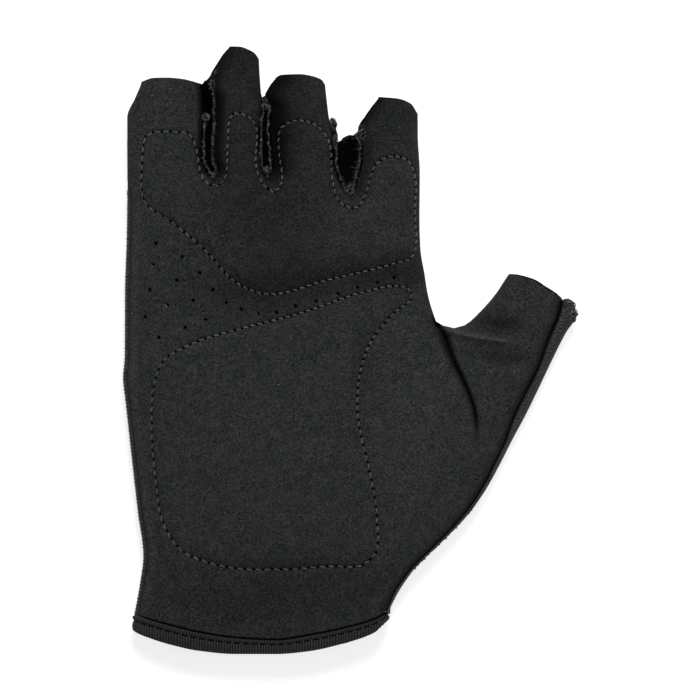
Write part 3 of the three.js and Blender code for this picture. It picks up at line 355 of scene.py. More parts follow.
def front_height(x, y):
    """Height of the palm side over the plan, without pads and stitches"""
    rises = [rise(y) for rise in (*finger_rises, palm_rise, thumb_rise)]
    heights = bulges(front_fingers, rises, FRONT_FULLNESS, (front_start, FRONT_ROUND), x, y)
    line, radius, rise = WEB
    web = rise * np.sqrt(np.clip(1 - (path_distance(line, x, y) / radius) ** 2, 0, None))
    rim = np.clip(1 - path_distance(WEB_RIM, x, y) / WEB_ROUND, 0, 1)
    heights.append(web * np.sqrt(1 - rim**2))
    height = joined(heights)
    for gap, (fall, run) in zip((little_ring, ring_middle), FLANKS):
        past = (x - gap["right"](y)) / run
        drop = fall * np.clip(1 - past, 0, 1) ** 2 * smooth((y - gap["foot"]) / REACH_RUN)
        height = height - np.where(past > -0.1, drop, 0)
    extra = sum(DENT_HEIGHT * np.sin(kx * x + ky * y + phase) for kx, ky, phase in soft_dents)
    for fold, width, *line in FOLDS:
        extra = extra + fold * hump(path_distance(line, x, y), width)
    height = SEAM_Z + height + extra * np.clip(height / FOLD_SETTLE, 0, 1)
    return np.maximum(SEAM_Z + SEAM_SLIT, height)


def normals(height, x, y):
    sx = (height(x + PROBE, y) - height(x - PROBE, y)) / (2 * PROBE)
    sy = (height(x, y + PROBE) - height(x, y - PROBE)) / (2 * PROBE)
    return unit(np.stack([-sx, -sy, np.ones_like(sx)], axis=-1))


def off_skin(height, x, y, lift):
    """Points a distance off a skin that has a height over the plan"""
    x, y, lift = (np.asarray(value, float) for value in (x, y, lift))
    return np.stack([x, y, height(x, y)], axis=-1) + normals(height, x, y) * lift[..., None]


def lengths(line):
    """How far along a line each of its points is"""
    return np.concatenate([[0], np.cumsum(np.linalg.norm(np.diff(line, axis=0), axis=1))])


def sampled(at, far, line):
    """Points of a line at other places along it"""
    return np.stack([np.interp(at, far, column) for column in np.transpose(line)], axis=1)


def rounded(corners, step, closed=True):
    """Evenly spaced points on a smooth curve through the corners"""
    corners = np.array(corners, float)
    if closed:
        ring = np.vstack([corners[-1:], corners, corners[:2]])
    else:
        ring = np.vstack([2 * corners[0] - corners[1], corners, 2 * corners[-1] - corners[-2]])
    chord = np.linalg.norm(np.diff(ring[:, :2], axis=0), axis=1)[:, None]
    slope = np.diff(ring, axis=0) / chord
    middle = (slope[:-1] * chord[1:] + slope[1:] * chord[:-1]) / (chord[:-1] + chord[1:])
    start, end, run = ring[1:-2, None], ring[2:-1, None], chord[1:-1, None]
    leave, arrive = middle[:-1, None] * run, middle[1:, None] * run
    t = np.linspace(0, 1, CURVE_STEPS, endpoint=False)[None, :, None]
    curve = start * (2 * t**3 - 3 * t**2 + 1) + end * (3 * t**2 - 2 * t**3)
    curve = curve + leave * (t**3 - 2 * t**2 + t) + arrive * (t**3 - t**2)
    last = corners[:1] if closed else corners[-1:]
    curve = np.vstack([curve.reshape(-1, corners.shape[1]), last])
    far = lengths(curve)
    count = max(2, round(far[-1] / step))
    at = np.linspace(0, far[-1], count + 1)[: count if closed else count + 1]
    return sampled(at, far, curve)


def inside(loop, x, y):
    """Which points lie inside a closed outline"""
    count = np.zeros(len(x), int)
    for (x0, y0), (x1, y1) in zip(loop, np.roll(loop, -1, axis=0)):
        crosses = (y0 > y) != (y1 > y)
        with np.errstate(divide="ignore", invalid="ignore"):
            at = x0 + (y - y0) / (y1 - y0) * (x1 - x0)
        count += crosses & (x < at)
    return count % 2 == 1


def tree_of(points):
    tree = KDTree(len(points))
    for i, (x, y) in enumerate(points):
        tree.insert((x, y, 0), i)
    tree.balance()
    return tree


def distances(tree, x, y):
    return np.array([tree.find((a, b, 0))[2] for a, b in zip(x, y)])


def stitched(loop, pitch):
    """Needle's holes along a closed line; the pitch changes a little from place to place"""
    line = np.vstack([loop, loop[:1]])
    steps = np.linalg.norm(np.diff(line, axis=0), axis=1)
    phase = np.concatenate([[0], np.cumsum(steps / pitch(*line[:-1].T))])
    at = np.arange(round(phase[-1])) * phase[-1] / round(phase[-1])
    return sampled(at, phase, line)


def finger_pitch(x, y):
    """Pitch of the upper pad's stitches, which grows to the left"""
    return 2.15 + 0.5 * smooth((-x - 30) / 25)


def heel_pitch(x, y):
    """Pitch of the lower pad's stitches, which grows to the left and towards the wrist"""
    return 2.1 + 0.6 * smooth((5 - 0.4 * x - y) / 45)


FINE_STEP = 0.08
COARSE_STEP = 0.2
RIDGE = FOLDS[0][2:]  # the fold across the root of the thumb
pad_loops = [rounded(pad, FINE_STEP) for pad in (FINGER_PAD, HEEL_PAD)]
needle_holes = [stitched(pad_loops[0], finger_pitch), stitched(pad_loops[1], heel_pitch)]
crease_line = rounded(CREASE, FINE_STEP, closed=False)
loop_trees = [tree_of(loop) for loop in pad_loops]
needle_tree = tree_of(np.vstack(needle_holes))
hole_tree = tree_of(HOLES)
crease_tree = tree_of(crease_line[:, :2])
web_tree = tree_of(rounded(WEB_RIM, COARSE_STEP, closed=False))
ridge_tree = tree_of(rounded(RIDGE, COARSE_STEP, closed=False))
CREASE_POWER = 1.6
CREASE_LIP = (0.2, 1.3, 0.8)  # the fold beside the crease: share of its depth, place and width
CREASE_SAG = (0.22, 2.0)  # the palm sinks towards the crease: share of its depth, width
SIDE_LIP = (0.3, 1.0, 0.8)  # height, place and width of the roll along the side edge
SIDE_LIP_TOP = 62
THUMB_SINK = (1.5, 0.0, 0.32)  # depth, place and width of the groove at the thumb's seam


def beside_crease(x, y):
    """Distance from the crease, side of it, and its depth and width there"""
    found = [crease_tree.find((a, b, 0)) for a, b in zip(x, y)]
    index = np.array([hit[1] for hit in found])
    away = np.array([hit[2] for hit in found])
    near = crease_line[index]
    ahead = np.gradient(crease_line[:, :2], axis=0)[index]
    side = np.sign((x - near[:, 0]) * -ahead[:, 1] + (y - near[:, 1]) * ahead[:, 0])
    return away, side, near[:, 2], near[:, 3]


def relief(x, y):
    """What pads, stitches and holes add to the height of the palm side"""
    total = np.zeros(len(x))
    for loop, tree in zip(pad_loops, loop_trees):
        away = distances(tree, x, y)
        within = inside(loop[::6], x, y)
        total += np.where(within, PAD_RISE * smooth(away / PAD_RUN), 0)
        total -= VALLEY * hump(away, VALLEY_RUN)
    total -= PIT * hump(distances(needle_tree, x, y), PIT_RUN)
    rim = np.clip(distances(hole_tree, x, y) - HOLE_RADIUS, 0, None)
    total -= HOLE_LIP * hump(rim, HOLE_LIP_RUN)
    height, place_at, width = SIDE_LIP
    return total + height * hump(x - suede_left(y) - place_at, width) * (y < SIDE_LIP_TOP)


def sunk(x, y):
    """How deep the suede and its backing sink in the crease and at the thumb's seam"""
    away, side, depth, width = beside_crease(x, y)
    total = depth * hump(away, width, CREASE_POWER)
    share, place_at, width = CREASE_LIP
    lip = share * hump(away - place_at, width)
    share, width = CREASE_SAG
    total -= depth * np.where(side > 0, lip, -share * hump(away, width))
    depth, place_at, width = THUMB_SINK
    return total + depth * hump(thumb_seam(y) - place_at - x, width)


def spaced_rows(stops, step):
    """Rows from the first stop to the last, with every stop among them"""
    rows = [stops[0]]
    for high, low in zip(stops, stops[1:]):
        count = max(1, round((high - low) / step))
        rows += [high + (low - high) * i / count for i in range(1, count + 1)]
    return rows


def plan_of(digits, stops, step, wrist_rows):
    """A flat net over the plan: each digit from its hem down to the wrist's edge"""
    net = bmesh.new()
    rows = spaced_rows(stops, step)
    for left, right, hem, base, columns in digits:
        across = (1 - np.cos(np.pi * np.arange(columns + 1) / columns)) / 2
        hem_y = track(hem)(across)
        shares = np.linspace(1, 0, max(2, round((hem_y.mean() - base) / step)), endpoint=False)
        levels = [base + (hem_y - base) * share for share in shares]
        levels += [np.full(columns + 1, y) for y in rows if y <= base]
        lines = [(left(y) + across * (right(y) - left(y)), y) for y in levels]
        for i in range(1, wrist_rows + 1):
            y = np.full(columns + 1, LAST_ROW)
            for _ in range(EDGE_ROUNDS):
                x = left(y) + across * (right(y) - left(y))
                y = LAST_ROW + (wrist_top(x) - LAST_ROW) * i / wrist_rows
            lines.append((left(y) + across * (right(y) - left(y)), y))
        grid = [[net.verts.new((a, b, 0)) for a, b in zip(x, y)] for x, y in lines]
        for upper, lower in zip(grid, grid[1:]):
            for i in range(columns):
                net.faces.new((upper[i], lower[i], lower[i + 1], upper[i + 1]))
    bmesh.ops.remove_doubles(net, verts=net.verts, dist=MERGE)
    return net


def refine(net, trees, within):
    """Halves the net's cells near the points of some trees"""
    edges = set()
    for face in net.faces:
        centre = face.calc_center_median()
        if any(tree.find(centre)[2] < within for tree in trees):
            edges.update(face.edges)
    bmesh.ops.subdivide_edges(net, edges=list(edges), cuts=1, use_grid_fill=True)


def pierce(net, centres, radius):
    """Cuts round holes into the net"""
    tree = tree_of(centres)
    inner = [f for f in net.faces if tree.find(f.calc_center_median())[2] < radius]
    bmesh.ops.delete(net, geom=inner, context="FACES")
    for vert in net.verts:
        x, y, _ = vert.co
        centre, _, away = tree.find((x, y, 0))
        if vert.is_boundary and away < radius * RIM_NEAR[1]:
            vert.co.x = centre.x + (x - centre.x) * radius / away
            vert.co.y = centre.y + (y - centre.y) * radius / away


def shell_from(net, outer, inner):
    """Points and faces of a closed body between two skins over a net"""
    net.verts.index_update()
    plan = np.array([vert.co[:2] for vert in net.verts])
    count = len(plan)
    x, y = plan.T
    points = np.vstack([outer(x, y), inner(x, y)])
    faces = [[vert.index for vert in face.verts] for face in net.faces]
    under = [[i + count for i in reversed(face)] for face in faces]
    walls = []
    for edge in net.edges:
        if edge.is_boundary:
            loop = edge.link_loops[0]
            p, q = loop.vert.index, loop.link_loop_next.vert.index
            walls.append([p, p + count, q + count, q])
    kinds = [0] * len(faces) + [1] * len(under) + [2] * len(walls)
    return points, faces + under + walls, kinds


def mesh_piece(name, points, faces, materials, kinds=None, sharp=40):
    """A new piece of the glove, from points in millimetres"""
    mesh = bpy.data.meshes.new(name)
    mesh.from_pydata((np.asarray(points) * MM).tolist(), [], faces)
    for material in materials:
        mesh.materials.append(material)
    if kinds is not None:
        mesh.polygons.foreach_set("material_index", kinds)
    mesh.polygons.foreach_set("use_smooth", [True] * len(mesh.polygons))
    mesh.set_sharp_from_angle(angle=math.radians(sharp))
    mesh.update()
    made = bpy.data.objects.new(name, mesh)
    bpy.context.scene.collection.objects.link(made)
    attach(made, "root")
    return made


def place(tree, kind, values=(), **settings):
    """A shader node whose inputs are set or linked, by order or by name"""
    made = tree.nodes.new("ShaderNode" + kind)
    for key, value in settings.items():
        setattr(made, key, value)
    pairs = values.items() if isinstance(values, dict) else enumerate(values)
    for key, value in pairs:
        if isinstance(value, bpy.types.NodeSocket):
            tree.links.new(value, made.inputs[key])
        elif value is not None:
            made.inputs[key].default_value = value
    return made


def math_of(tree, operation, *values):
    return place(tree, "Math", values, operation=operation).outputs[0]


def blend_of(tree, factor, low, high):
    """A mix of two colours, each of them a socket or three numbers"""
    low, high = ((*value, 1) if isinstance(value, tuple) else value for value in (low, high))
    return place(tree, "Mix", {0: factor, 6: low, 7: high}, data_type="RGBA").outputs[2]


def range_of(tree, value, low, high, out_low=0.0, out_high=1.0):
    return place(tree, "MapRange", (value, low, high, out_low, out_high)).outputs[0]


def new_group(name, inputs, outputs):
    """An empty shader node group with number inputs and number outputs"""
    group = bpy.data.node_groups.new(name, "ShaderNodeTree")
    for label, value in inputs:
        socket = group.interface.new_socket(label, in_out="INPUT", socket_type="NodeSocketFloat")
        socket.default_value = value
    for label in outputs:
        group.interface.new_socket(label, in_out="OUTPUT", socket_type="NodeSocketFloat")
    start = group.nodes.new("NodeGroupInput")
    end = group.nodes.new("NodeGroupOutput")
    return group, start.outputs, end.inputs


def use_group(tree, group, **values):
    made = tree.nodes.new("ShaderNodeGroup")
    made.node_tree = group
    for key, value in values.items():
        made.inputs[key.replace("_", " ")].default_value = value
    return made.outputs


def new_finish(name, roughness, specular, sheen=0.0, sheen_roughness=0.5):
    """A material with its shader's constant sockets set"""
    made = bpy.data.materials.new(name)
    made.use_nodes = True
    shader = made.node_tree.nodes["Principled BSDF"]
    labels = ("Roughness", "Specular IOR Level", "Sheen Weight", "Sheen Roughness")
    for label, value in zip(labels, (roughness, specular, sheen, sheen_roughness)):
        shader.inputs[label].default_value = value
    return made, made.node_tree, shader


def relief_on(tree, shader, height, strength, distance):
    bump = place(tree, "Bump", {"Strength": strength, "Distance": distance * MM, "Height": height})
    tree.links.new(bump.outputs[0], shader.inputs["Normal"])


def plan_sockets(tree):
    """The x and y of the point that is shaded, in millimetres"""
    parts = place(tree, "SeparateXYZ", (place(tree, "TexCoord").outputs["Object"],)).outputs
    return [math_of(tree, "DIVIDE", parts[axis], MM) for axis in (0, 1)]


# The nap's look: fine flecks of lit fibre ends, soft patches where the nap lies another way, and
# a rare bit of lint
nap, given, out = new_group(
    "nap", [("Fleck Size", 0.4), ("Patch Size", 3.0)], ["Fleck", "Patch", "Lint"]
)
coords = place(nap, "TexCoord").outputs["Object"]
NAP_NOISE = [  # output, detail, roughness and the range that is spread out
    ("Fleck", 4.0, 0.78, 0.37, 0.63), ("Patch", 3.0, 0.55, 0.33, 0.67),
]
for label, detail, rough, low, high in NAP_NOISE:
    values = {"Vector": coords, "Scale": math_of(nap, "DIVIDE", 1 / MM, given[label + " Size"])}
    noise = place(nap, "TexNoise", {**values, "Detail": detail, "Roughness": rough})
    nap.links.new(range_of(nap, noise.outputs[0], low, high), out[label])
dust = place(nap, "TexNoise", {"Vector": coords, "Scale": 1.7 / MM, "Detail": 0.0})
nap.links.new(range_of(nap, dust.outputs[0], 0.82, 0.86), out["Lint"])

# A soft spot: a mask that fades out from the middle of an ellipse on the plan
soft_spot, given, out = new_group(
    "soft_spot", [("X", 0.0), ("Y", 0.0), ("Half X", 10.0), ("Half Y", 10.0)], ["Mask"]
)
tree = soft_spot
squares = []
for letter, socket in zip("XY", plan_sockets(tree)):
    away = math_of(tree, "SUBTRACT", socket, given[letter])
    share = math_of(tree, "DIVIDE", away, given["Half " + letter])
    squares.append(math_of(tree, "MULTIPLY", share, share))
far = math_of(tree, "MULTIPLY", math_of(tree, "ADD", *squares), -1.0)
tree.links.new(math_of(tree, "EXPONENT", far), out["Mask"])

TONE_AND_SHADE_SPOTS = [  # middle and half sizes of a soft spot, and how much lighter or darker the suede is there: broad patches of tone, and painted shade on the ring finger's left flank and beside the thumb's fold
    (-24, 68, 22, 35, -0.42), (-32, 88, 12, 10, -0.25), (14, 74, 18, 20, -0.36),
    (-39.6, 80.8, 2.1, 2.4, -0.92), (-40.8, 82.8, 2.2, 3.0, -0.92), (-39.0, 85.8, 1.9, 2.6, -0.85),
    (-37.4, 88.2, 1.5, 1.8, -0.65), (-27, 18, 20, 8, -0.43), (12, 23, 20, 6, -0.5),
    (-12, 22, 12, 7, -0.18), (-26, 38, 22, 13, -0.22), (4, -3, 3.5, 10, -0.22),
    (-24, -73, 42, 13, -0.33), (20, -25, 12, 30, 0.12), (43.5, 7.4, 6.5, 3.4, -0.45),
    (46, -2.4, 6.5, 2.2, -0.38),
]
# Colours of the nap: each where it lies one way and the other
NAP_DARK = ((0.0063, 0.0082, 0.0075), (0.0122, 0.0112, 0.0118))
NAP_LIGHT = ((0.0378, 0.047, 0.0438), (0.0595, 0.0565, 0.058))
LINT = (0.12, 0.12, 0.12)
suede, tree, shader = new_finish("suede", 0.95, 0.04, 0.015)
nap_out = use_group(tree, nap, Fleck_Size=0.62, Patch_Size=3.2)
dark = blend_of(tree, nap_out["Patch"], *NAP_DARK)
light = blend_of(tree, nap_out["Patch"], *NAP_LIGHT)
napped = blend_of(tree, nap_out["Fleck"], dark, light)
# The suede's colour is scaled by the painted shade and highlights of the palm's shell, then by the
# soft spots of broad tone and painted shade
tone = place(tree, "Attribute", attribute_name="painted_shading").outputs["Fac"]
for x, y, half_x, half_y, change in TONE_AND_SHADE_SPOTS:
    spot = use_group(tree, soft_spot, X=x, Y=y, Half_X=half_x, Half_Y=half_y)["Mask"]
    tone = math_of(tree, "MULTIPLY", tone, math_of(tree, "MULTIPLY_ADD", spot, change, 1.0))
linty = blend_of(tree, nap_out["Lint"], napped, LINT)
toned = place(tree, "VectorMath", {0: linty, "Scale": tone}, operation="SCALE")
tree.links.new(toned.outputs[0], shader.inputs["Base Color"])
relief_on(tree, shader, nap_out["Fleck"], 0.8, 0.16)


def napped_finish(name, constants, sizes, low, high, bump=None):
    """A finish flecked from one colour to another, where a pair of colours means patches of both.

    Constants are those of new_finish, sizes those of flecks and patches, bump those of relief_on.
    """
    made, tree, shader = new_finish(name, *constants)
    nap_out = use_group(tree, nap, Fleck_Size=sizes[0], Patch_Size=sizes[1])
    ends = []
    for colour in (low, high):
        ends.append(blend_of(tree, nap_out["Patch"], *colour) if len(colour) == 2 else colour)
    tree.links.new(blend_of(tree, nap_out["Fleck"], *ends), shader.inputs["Base Color"])
    if bump:
        relief_on(tree, shader, nap_out["Fleck"], *bump)
    return made


# Reverse of the suede: its knitted backing, which shows inside the mouths
backing = napped_finish(
    "suede_backing", (0.95, 0.2, 0.05), (0.5, 4.0), (0.01, 0.01, 0.0105), (0.023, 0.023, 0.024),
    (0.6, 0.2),
)

# Walls of the pierced holes: painted near black for the shade inside them, with rare pale bits as
# painted glints where light catches a wall
HOLE_WALL_SHADE_AND_GLINTS = ((0.003, 0.003, 0.003), (0.42, 0.42, 0.41))
hole_wall_shade_and_glints, tree, shader = new_finish("hole_wall_shade_and_glints", 0.9, 0.3)
rare = math_of(tree, "POWER", use_group(tree, nap, Fleck_Size=0.3, Patch_Size=2.5)["Patch"], 4.5)
bits = blend_of(tree, rare, *HOLE_WALL_SHADE_AND_GLINTS)
tree.links.new(bits, shader.inputs["Base Color"])

FRONT_DIGITS = [  # left, right, hem, where the rows of its own end, columns
    (suede_left, little_ring["left"], HEMS["little"], 50.2, 26),
    (little_ring["right"], ring_middle["left"], HEMS["ring"], 50.2, 22),
    (ring_middle["right"], middle_index["left"], HEMS["middle"], 50.2, 22),
    (middle_index["right"], index_thumb["left"], HEMS["index"], 50.2, 26),
    (index_thumb["right"], thumb_seam, HEMS["thumb"], 10.0, 28),
]
# Rows that the digits share, at the feet of the gaps and along the thumb's web
FRONT_STOPS = [50.2, 44.9, 10.0, 9.2, 8.4, 7.8, 7.2, 6.8, 6.4, 5.4, LAST_ROW]
front_net = plan_of(FRONT_DIGITS, FRONT_STOPS, step=1.15, wrist_rows=13)
refine(front_net, [*loop_trees, crease_tree, hole_tree, web_tree, ridge_tree], within=1.4)
refine(front_net, [*loop_trees, crease_tree, hole_tree, ridge_tree], within=0.85)
pierce(front_net, HOLES, HOLE_RADIUS)
pierce(front_net, np.vstack(needle_holes), NEEDLE_RADIUS)

def above_seam(points, x, y):
    """The skin after it has sunk in the crease, and never below the seam"""
    points[:, 2] = np.maximum(points[:, 2] - sunk(x, y), SEAM_Z + SEAM_SLIT)
    return points


def front_outer(x, y):
    return above_seam(off_skin(front_height, x, y, relief(x, y)), x, y)


def front_inner(x, y):
    near = [hole_tree.find((a, b, 0)) for a, b in zip(x, y)]
    away = np.array([hit[2] for hit in near])
    centre = np.array([hit[0][:2] for hit in near])
    at_hole = away < HOLE_RADIUS * RIM_NEAR[0]
    narrow = np.where(at_hole, HOLE_TAPER, 1.0)
    x = centre[:, 0] + (x - centre[:, 0]) * narrow + HOLE_LEAN * (at_hole & (x > LEAN_FROM))
    y = centre[:, 1] + (y - centre[:, 1]) * narrow
    return above_seam(off_skin(front_height, x, y, -SUEDE_WALL), x, y)


GAP_PAINTED_SHADE = [  # gap, side, how far painted shade reaches beside it, how much
    (little_ring, "right", 2.9, 0.88), (little_ring, "left", 1.1, 0.9),
    (ring_middle, "right", 5.8, 0.95), (ring_middle, "left", 0.7, 0.6),
    (middle_index, "right", 3.2, 0.5), (middle_index, "left", 0.6, 0.6),
]
THUMB_SEAM_PAINTED_SHADE = (1.8, 0.45)  # painted shade beside the thumb's seam, in the same way
RIDGE_PAINTED_HIGHLIGHT = (0.8, 0.95)  # painted highlight on the thumb's fold
GAP_SHADE_POWER = 2.6
GAP_SHADE_START = (0.5, 2.5, 5)  # where the painted shade starts: how far over the edge and below the gap's foot, and its growth
# Painted shade in the crease: start and growth with its width of the run to the thumb and to
# the palm, the depth from which it is darkest, and how dark
CREASE_PAINTED_SHADE = ((0.55, 0.2), (0.4, 1.2), 1.6, 0.98)
SIDE_PAINTED_SHADE = (0.35, 0.8)  # painted shade beside the seam of the little finger's side: its run and share
SIDE_PAINTED_HIGHLIGHT = (0.32, 1.7, 1.1)  # and a painted highlight where it rolls over: share, place and run
SIDE_TOP = (52, 4)  # both begin below this height, over a run


def painted_shading(x, y):
    """Painted shade beside the seams and in the crease, and painted highlights on the side's roll
    and the thumb's fold
    """
    tone = np.ones(len(x))
    over, under, fade = GAP_SHADE_START
    for gap, side, run, share in GAP_PAINTED_SHADE:
        past = (x - gap["right"](y)) if side == "right" else (gap["left"](y) - x)
        beside = hump(np.clip(past, 0, None), run, GAP_SHADE_POWER) * (past > -over)
        tone *= 1 - share * beside * smooth((y - gap["foot"] + under) / fade)
    run, share = THUMB_SEAM_PAINTED_SHADE
    tone *= 1 - share * hump(thumb_seam(y) - x, run)
    away, side, depth, width = beside_crease(x, y)
    *runs, full_depth, darkest = CREASE_PAINTED_SHADE
    run = np.where(side > 0, *(start + growth * width for start, growth in runs))
    tone *= 1 - np.clip(depth / full_depth, 0, darkest) * hump(away, run)
    beside = x - suede_left(y)
    low = smooth((SIDE_TOP[0] - y) / SIDE_TOP[1])
    run, share = SIDE_PAINTED_SHADE
    tone *= 1 - share * hump(beside, run) * low
    share, place_at, run = SIDE_PAINTED_HIGHLIGHT
    tone *= 1 + share * hump(beside - place_at, run) * low
    share, run = RIDGE_PAINTED_HIGHLIGHT
    return tone * (1 + share * hump(path_distance(RIDGE, x, y), run))


points, faces, kinds = shell_from(front_net, front_outer, front_inner)
palm = mesh_piece("palm_suede", points, faces, [suede, backing, hole_wall_shade_and_glints], kinds)
plan = np.array([vert.co[:2] for vert in front_net.verts])
# Painted shade and highlights go on the outer skin; the inner skin keeps its plain colour
painted_shading_values = np.concatenate([painted_shading(*plan.T), np.ones(len(plan))])
palm.data.attributes.new("painted_shading", "FLOAT", "POINT").data.foreach_set("value", painted_shading_values)
for face in palm.data.polygons:  # of the walls, only those of the pierced holes get the painted shade and glints
    if face.material_index == 2 and hole_tree.find((*(face.center / MM).xy, 0))[2] > HOLE_RADIUS:
        face.material_index = 0
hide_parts("palm_panel")

# Stitches of the pads: lockstitch in a two-ply polyester thread a little lighter than the suede.
# Each stitch runs slightly askew from one needle's hole to the next and dives into it.
THREAD_RADIUS = 0.185
THREAD_PLY = 0.13  # how far two plies make the thread out of round, as a share
PLY_TURN = 0.9  # length of thread in which the plies turn once
STITCH_SKEW = 0.32
SKEW_CHANGE = 0.35
STITCH_SINK = 0.75  # of its ends below the groove
STITCH_ARCH = 0.95
ARCH_CHANGE = 0.07
ARCH_POWER = 0.35
STITCH_SPAN = (0.2, 0.8)  # where a stitch comes up and goes down, between its two holes
STITCH_RINGS = 12
STITCH_SIDES = 8


def ring_faces(rings, sides, closed=False):
    """Faces round a row of rings, with a face at each end unless the row closes on itself"""
    faces = []
    for k in range(rings if closed else rings - 1):
        low, high = k * sides, (k + 1) % rings * sides
        for i in range(sides):
            j = (i + 1) % sides
            faces.append([low + i, high + i, high + j, low + j])
    if closed:
        return faces
    return [list(range(sides)), *faces, [rings * sides - 1 - i for i in range(sides)]]


def tube(centres, radius, sides, ups=(0, 0, 1.0), ply=0.0, turn=1.0):
    """A closed tube along a line; ply makes it a twist of two strands"""
    centres = np.asarray(centres, float)
    ahead = unit(np.gradient(centres, axis=0))
    side = unit(np.cross(ahead, ups))
    up = np.cross(side, ahead)
    far = lengths(centres)
    angle = 2 * np.pi * np.arange(sides) / sides
    twist = 2 * (angle[None] - 2 * np.pi * far[:, None] / turn)
    thick = np.broadcast_to(radius, far.shape)[:, None] * (1 + ply * np.cos(twist))
    ring = side[:, None] * np.cos(angle)[None, :, None] + up[:, None] * np.sin(angle)[None, :, None]
    points = (centres[:, None] + ring * thick[..., None]).reshape(-1, 3)
    return points, ring_faces(len(centres), sides)


def gathered(parts):
    """Points and faces of many small bodies as one"""
    points, faces, count = [], [], 0
    for some, some_faces in parts:
        points.append(some)
        faces += [[i + count for i in face] for face in some_faces]
        count += len(some)
    return np.vstack(points), faces


def joined_piece(name, groups, sharp=80):
    """One piece of several groups of small bodies, each with its own material"""
    points, faces = gathered([body for bodies, _ in groups for body in bodies])
    kinds = []
    for i, (bodies, _) in enumerate(groups):
        kinds += [i] * sum(len(body[1]) for body in bodies)
    return mesh_piece(name, points, faces, [finish for _, finish in groups], kinds, sharp)


thread = napped_finish(
    "stitch_thread", (0.6, 0.35, 0.2, 0.4), (0.3, 7.0),
    ((0.02, 0.021, 0.021), (0.06, 0.062, 0.062)), ((0.055, 0.057, 0.057), (0.18, 0.184, 0.184)),
    (0.4, 0.05),
)

stitches = []
wobble = random.Random(11)
share = np.linspace(*STITCH_SPAN, STITCH_RINGS)
bow = np.linspace(0, np.pi, STITCH_RINGS)
for holes in needle_holes:
    for (x0, y0), (x1, y1) in zip(holes, np.roll(holes, -1, axis=0)):
        length = math.hypot(x1 - x0, y1 - y0)
        nx, ny = (y0 - y1) / length, (x1 - x0) / length
        skew = STITCH_SKEW * (1 + wobble.uniform(-SKEW_CHANGE, SKEW_CHANGE)) * (1 - 2 * share)
        x = x0 + (x1 - x0) * share + nx * skew
        y = y0 + (y1 - y0) * share + ny * skew
        arch = STITCH_ARCH + wobble.uniform(-ARCH_CHANGE, ARCH_CHANGE)
        lift = -VALLEY - STITCH_SINK + arch * np.sin(bow) ** ARCH_POWER
        line = off_skin(front_height, x, y, lift)
        ups = normals(front_height, x, y)
        stitches.append(tube(line, THREAD_RADIUS, STITCH_SIDES, ups, THREAD_PLY, PLY_TURN))
pad_stitches = joined_piece("pad_stitches", [(stitches, thread)])

# Back: a thin stretch knit over the back of the hand, sewn to the suede's edges. Its digits run
# into each other further up than the palm's, and the table flattens it where it rests.
BACK_WALL = 1.1
BACK_DROP = 9.5  # how far it would bulge below the seam without the table
BACK_SETTLE = 6.0
BACK_FULLNESS = (2.3, 3.4)
BACK_ROUND = 5.0
BACK_START = [(-66, 86), (-42.8, 79.4), (-25.6, 75), (-1, 63), (2.2, 65.4), (21, 78)]
BACK_LITTLE_RING = [
    (90, -43.4, -35.1), (89.6, -43.4, -35.4), (84.5, -43.4, -38.7), (81, -43.4, -41.1),
    (78.8, -43.4, -43.4), (60, -41.8), *LITTLE_RING[-4:],
]
BACK_RING_MIDDLE = [
    *RING_MIDDLE[:4], (75.4, -26.1, -24.8), (74.2, -25.7, -25.7), *RING_MIDDLE[-4:],
]
BACK_MIDDLE_INDEX = [
    *MIDDLE_INDEX[:4], (64.6, -4.9, 2.4), (63.4, -4.7, 1), (62.4, -4.4, -1.4), (61.4, -3.8, -3.8),
    *MIDDLE_INDEX[-4:],
]
back_little_ring = gap_between(BACK_LITTLE_RING, 78.8, 79.8, 78.6)
back_ring_middle = gap_between(BACK_RING_MIDDLE, 74.2, 74.6, 74.6)
back_middle_index = gap_between(BACK_MIDDLE_INDEX, 61.4, 64.6, 64.6)
back_fingers = finger_bulges([back_little_ring, back_ring_middle, back_middle_index], 0)
back_start = track(BACK_START)


def back_height(x, y):
    """Height of the back over the plan"""
    drops = [BACK_DROP * np.clip(rise(y) / BACK_SETTLE, 0, 1) for rise in finger_rises]
    drops += [BACK_DROP, BACK_DROP]
    heights = bulges(back_fingers, drops, BACK_FULLNESS, (back_start, BACK_ROUND), x, y)
    return np.clip(SEAM_Z - joined(heights), 0, SEAM_Z - SEAM_SLIT)


def on_back(x, y, lift):
    """Points a distance off the back, towards the hand"""
    point = off_skin(back_height, x, y, lift)
    point[:, 2] = np.minimum(point[:, 2], SEAM_Z - SEAM_SLIT)
    return point


# The knit's look: columns of V-shaped stitches, as a height from 0 to 1, for its bumps and for the
# painted shade between its stitches
KNIT_DENSITY = 1.3  # rows of stitches in the width of a column
knit_rows, given, out = new_group("knit_rows", [("Pitch", 0.9)], ["Height"])
tree = knit_rows
across, along = (math_of(tree, "DIVIDE", socket, given["Pitch"]) for socket in plan_sockets(tree))
column = math_of(tree, "ABSOLUTE", math_of(tree, "SUBTRACT", math_of(tree, "FRACT", across), 0.5))
rows = math_of(tree, "MULTIPLY", along, KNIT_DENSITY)
loops = math_of(tree, "FRACT", math_of(tree, "ADD", rows, column))
strand = math_of(tree, "SINE", math_of(tree, "MULTIPLY", loops, math.pi))
groove = math_of(tree, "SINE", math_of(tree, "MULTIPLY", column, 2 * math.pi))
tree.links.new(math_of(tree, "MULTIPLY", strand, groove), out["Height"])

